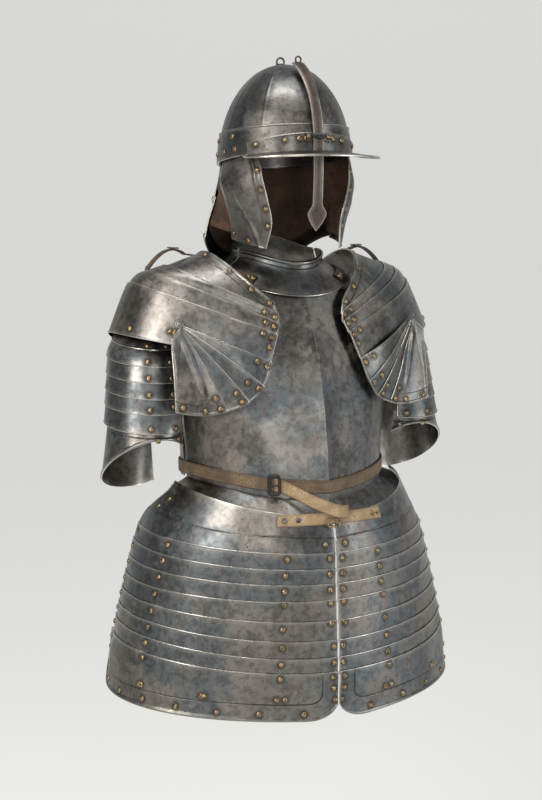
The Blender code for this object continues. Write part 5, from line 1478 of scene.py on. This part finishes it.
# %% [markdown]
# ## Rivets
# Rivet heads are small domes of brass with a hand-filed crown. All that belong together make one piece.
# Their places were noted while the plates were built, so each stands square on its plate.

# %% Rivets
DOME = [(0.0, -0.0008), (0.0041, -0.0008), (0.0043, 0.0002), (0.0040, 0.0011), (0.0030, 0.0020),
        (0.0015, 0.0025), (0.0, 0.0026)]
for (group, kind), found in sorted(STUDS.items()):
    if found:
        dress(f"rivets_{group}_{kind}", kind, [turned(DOME, spot, way, 12) for spot, way in found], [])


# %% [markdown]
# ## Stage and light
# The light is soft, against a pale wall. A wide area light from the left front makes the warm sheen on
# the near side, a long one overhead draws the lines of light that show where the metal curves, and two
# weaker ones fill the rest. The wall glows by itself, so that it needs no lamps of its own.

# %% Stage
def paint(name, colour, roughness, glow):
    """A plain pale paint for the stage, with a glow of its own in place of lamps behind the object."""
    made = Finish(name)
    made.set(Base_Color=(*colour, 1.0), Roughness=roughness, Emission_Color=(1.0, 1.0, 0.985, 1.0),
             Emission_Strength=glow)
    return made.material


LOOKS["wall"] = paint("pale_wall", (0.48, 0.48, 0.465), 0.9, 0.45)
FLOOR, FLOOR_FRONT, WALL_BACK, WALL_HALF, WALL_TOP, COVE = -1.25, -4.0, 8.0, 12.0, 9.0, 3.0
VIEW_SIN, VIEW_COS, RISE_SIN, RISE_COS, VIEW_DISTANCE = 0.469, 0.883, 0.1132, 0.9936, 3.0
turn = np.linspace(0, math.pi / 2, 14)
cove = [(WALL_BACK - COVE + COVE * math.sin(a), FLOOR + COVE - COVE * math.cos(a)) for a in turn]
profile = np.array([(FLOOR_FRONT, FLOOR), *cove, (WALL_BACK, WALL_TOP)])
view_side = np.array([VIEW_COS, -VIEW_SIN, 0.0])
view_back = np.array([VIEW_SIN, VIEW_COS, 0.0])
section = profile[:, :1] * view_back + profile[:, 1:] * np.array([0, 0, 1])
sheet_points = [view_side * side * WALL_HALF + section for side in (-1, 1)]
count = len(profile)
index = np.arange(count - 1)
wall_mesh = bpy.data.meshes.new("backdrop")
wall_mesh.from_pydata(np.concatenate(sheet_points).tolist(), [],
                      np.stack([index, index + count, index + count + 1, index + 1], 1).tolist())
wall_mesh.shade_smooth()
wall_mesh.materials.append(LOOKS["wall"])
backdrop = bpy.data.objects.new("backdrop", wall_mesh)
bpy.context.scene.collection.objects.link(backdrop)


def lamp(name, spot, aim, width, height, power, colour):
    """A soft rectangular light at a spot, turned towards an aim."""
    data = bpy.data.lights.new(name, "AREA")
    data.shape = "RECTANGLE"
    data.size, data.size_y = width, height
    data.energy = power
    data.color = colour
    thing = bpy.data.objects.new(name, data)
    thing.location = spot
    thing.rotation_euler = (Vector(aim) - Vector(spot)).to_track_quat("-Z", "Y").to_euler()
    bpy.context.scene.collection.objects.link(thing)


aim = (0.0, 0.0, -0.3)
lamp("key", (-2.6, -1.6, 1.0), aim, 1.1, 2.0, 74, (1.0, 0.955, 0.90))
lamp("top", (-0.3, -0.6, 2.4), aim, 1.8, 0.8, 44, (1.0, 0.99, 0.97))
lamp("fill", (2.3, -2.4, 0.2), aim, 0.9, 2.4, 34, (0.94, 0.97, 1.0))
lamp("front", (-1.1, -3.3, 0.4), aim, 0.5, 2.0, 22, (1.0, 0.98, 0.95))
world = bpy.context.scene.world or bpy.data.worlds.new("world")
bpy.context.scene.world = world
world.use_nodes = True
world.node_tree.nodes["Background"].inputs["Color"].default_value = (0.92, 0.93, 0.92, 1)
world.node_tree.nodes["Background"].inputs["Strength"].default_value = 0.28
bpy.context.scene.view_settings.view_transform = "Standard"

# %% [markdown]
# ## Camera and last measures
# The camera repeats the photograph's own view: three metres off, to the right of the wearer's front and a
# little above.

# %% Camera and end
target = Vector((-0.00883, 0.00469, -0.235))
cam_data = bpy.data.cameras.new("camera")
cam_data.lens = 84.375
camera = bpy.data.objects.new("camera", cam_data)
camera.location = target + VIEW_DISTANCE * Vector((-VIEW_SIN * RISE_COS, -VIEW_COS * RISE_COS, RISE_SIN))
camera.rotation_euler = (target - camera.location).to_track_quat("-Z", "Y").to_euler()
bpy.context.scene.collection.objects.link(camera)
bpy.context.scene.camera = camera
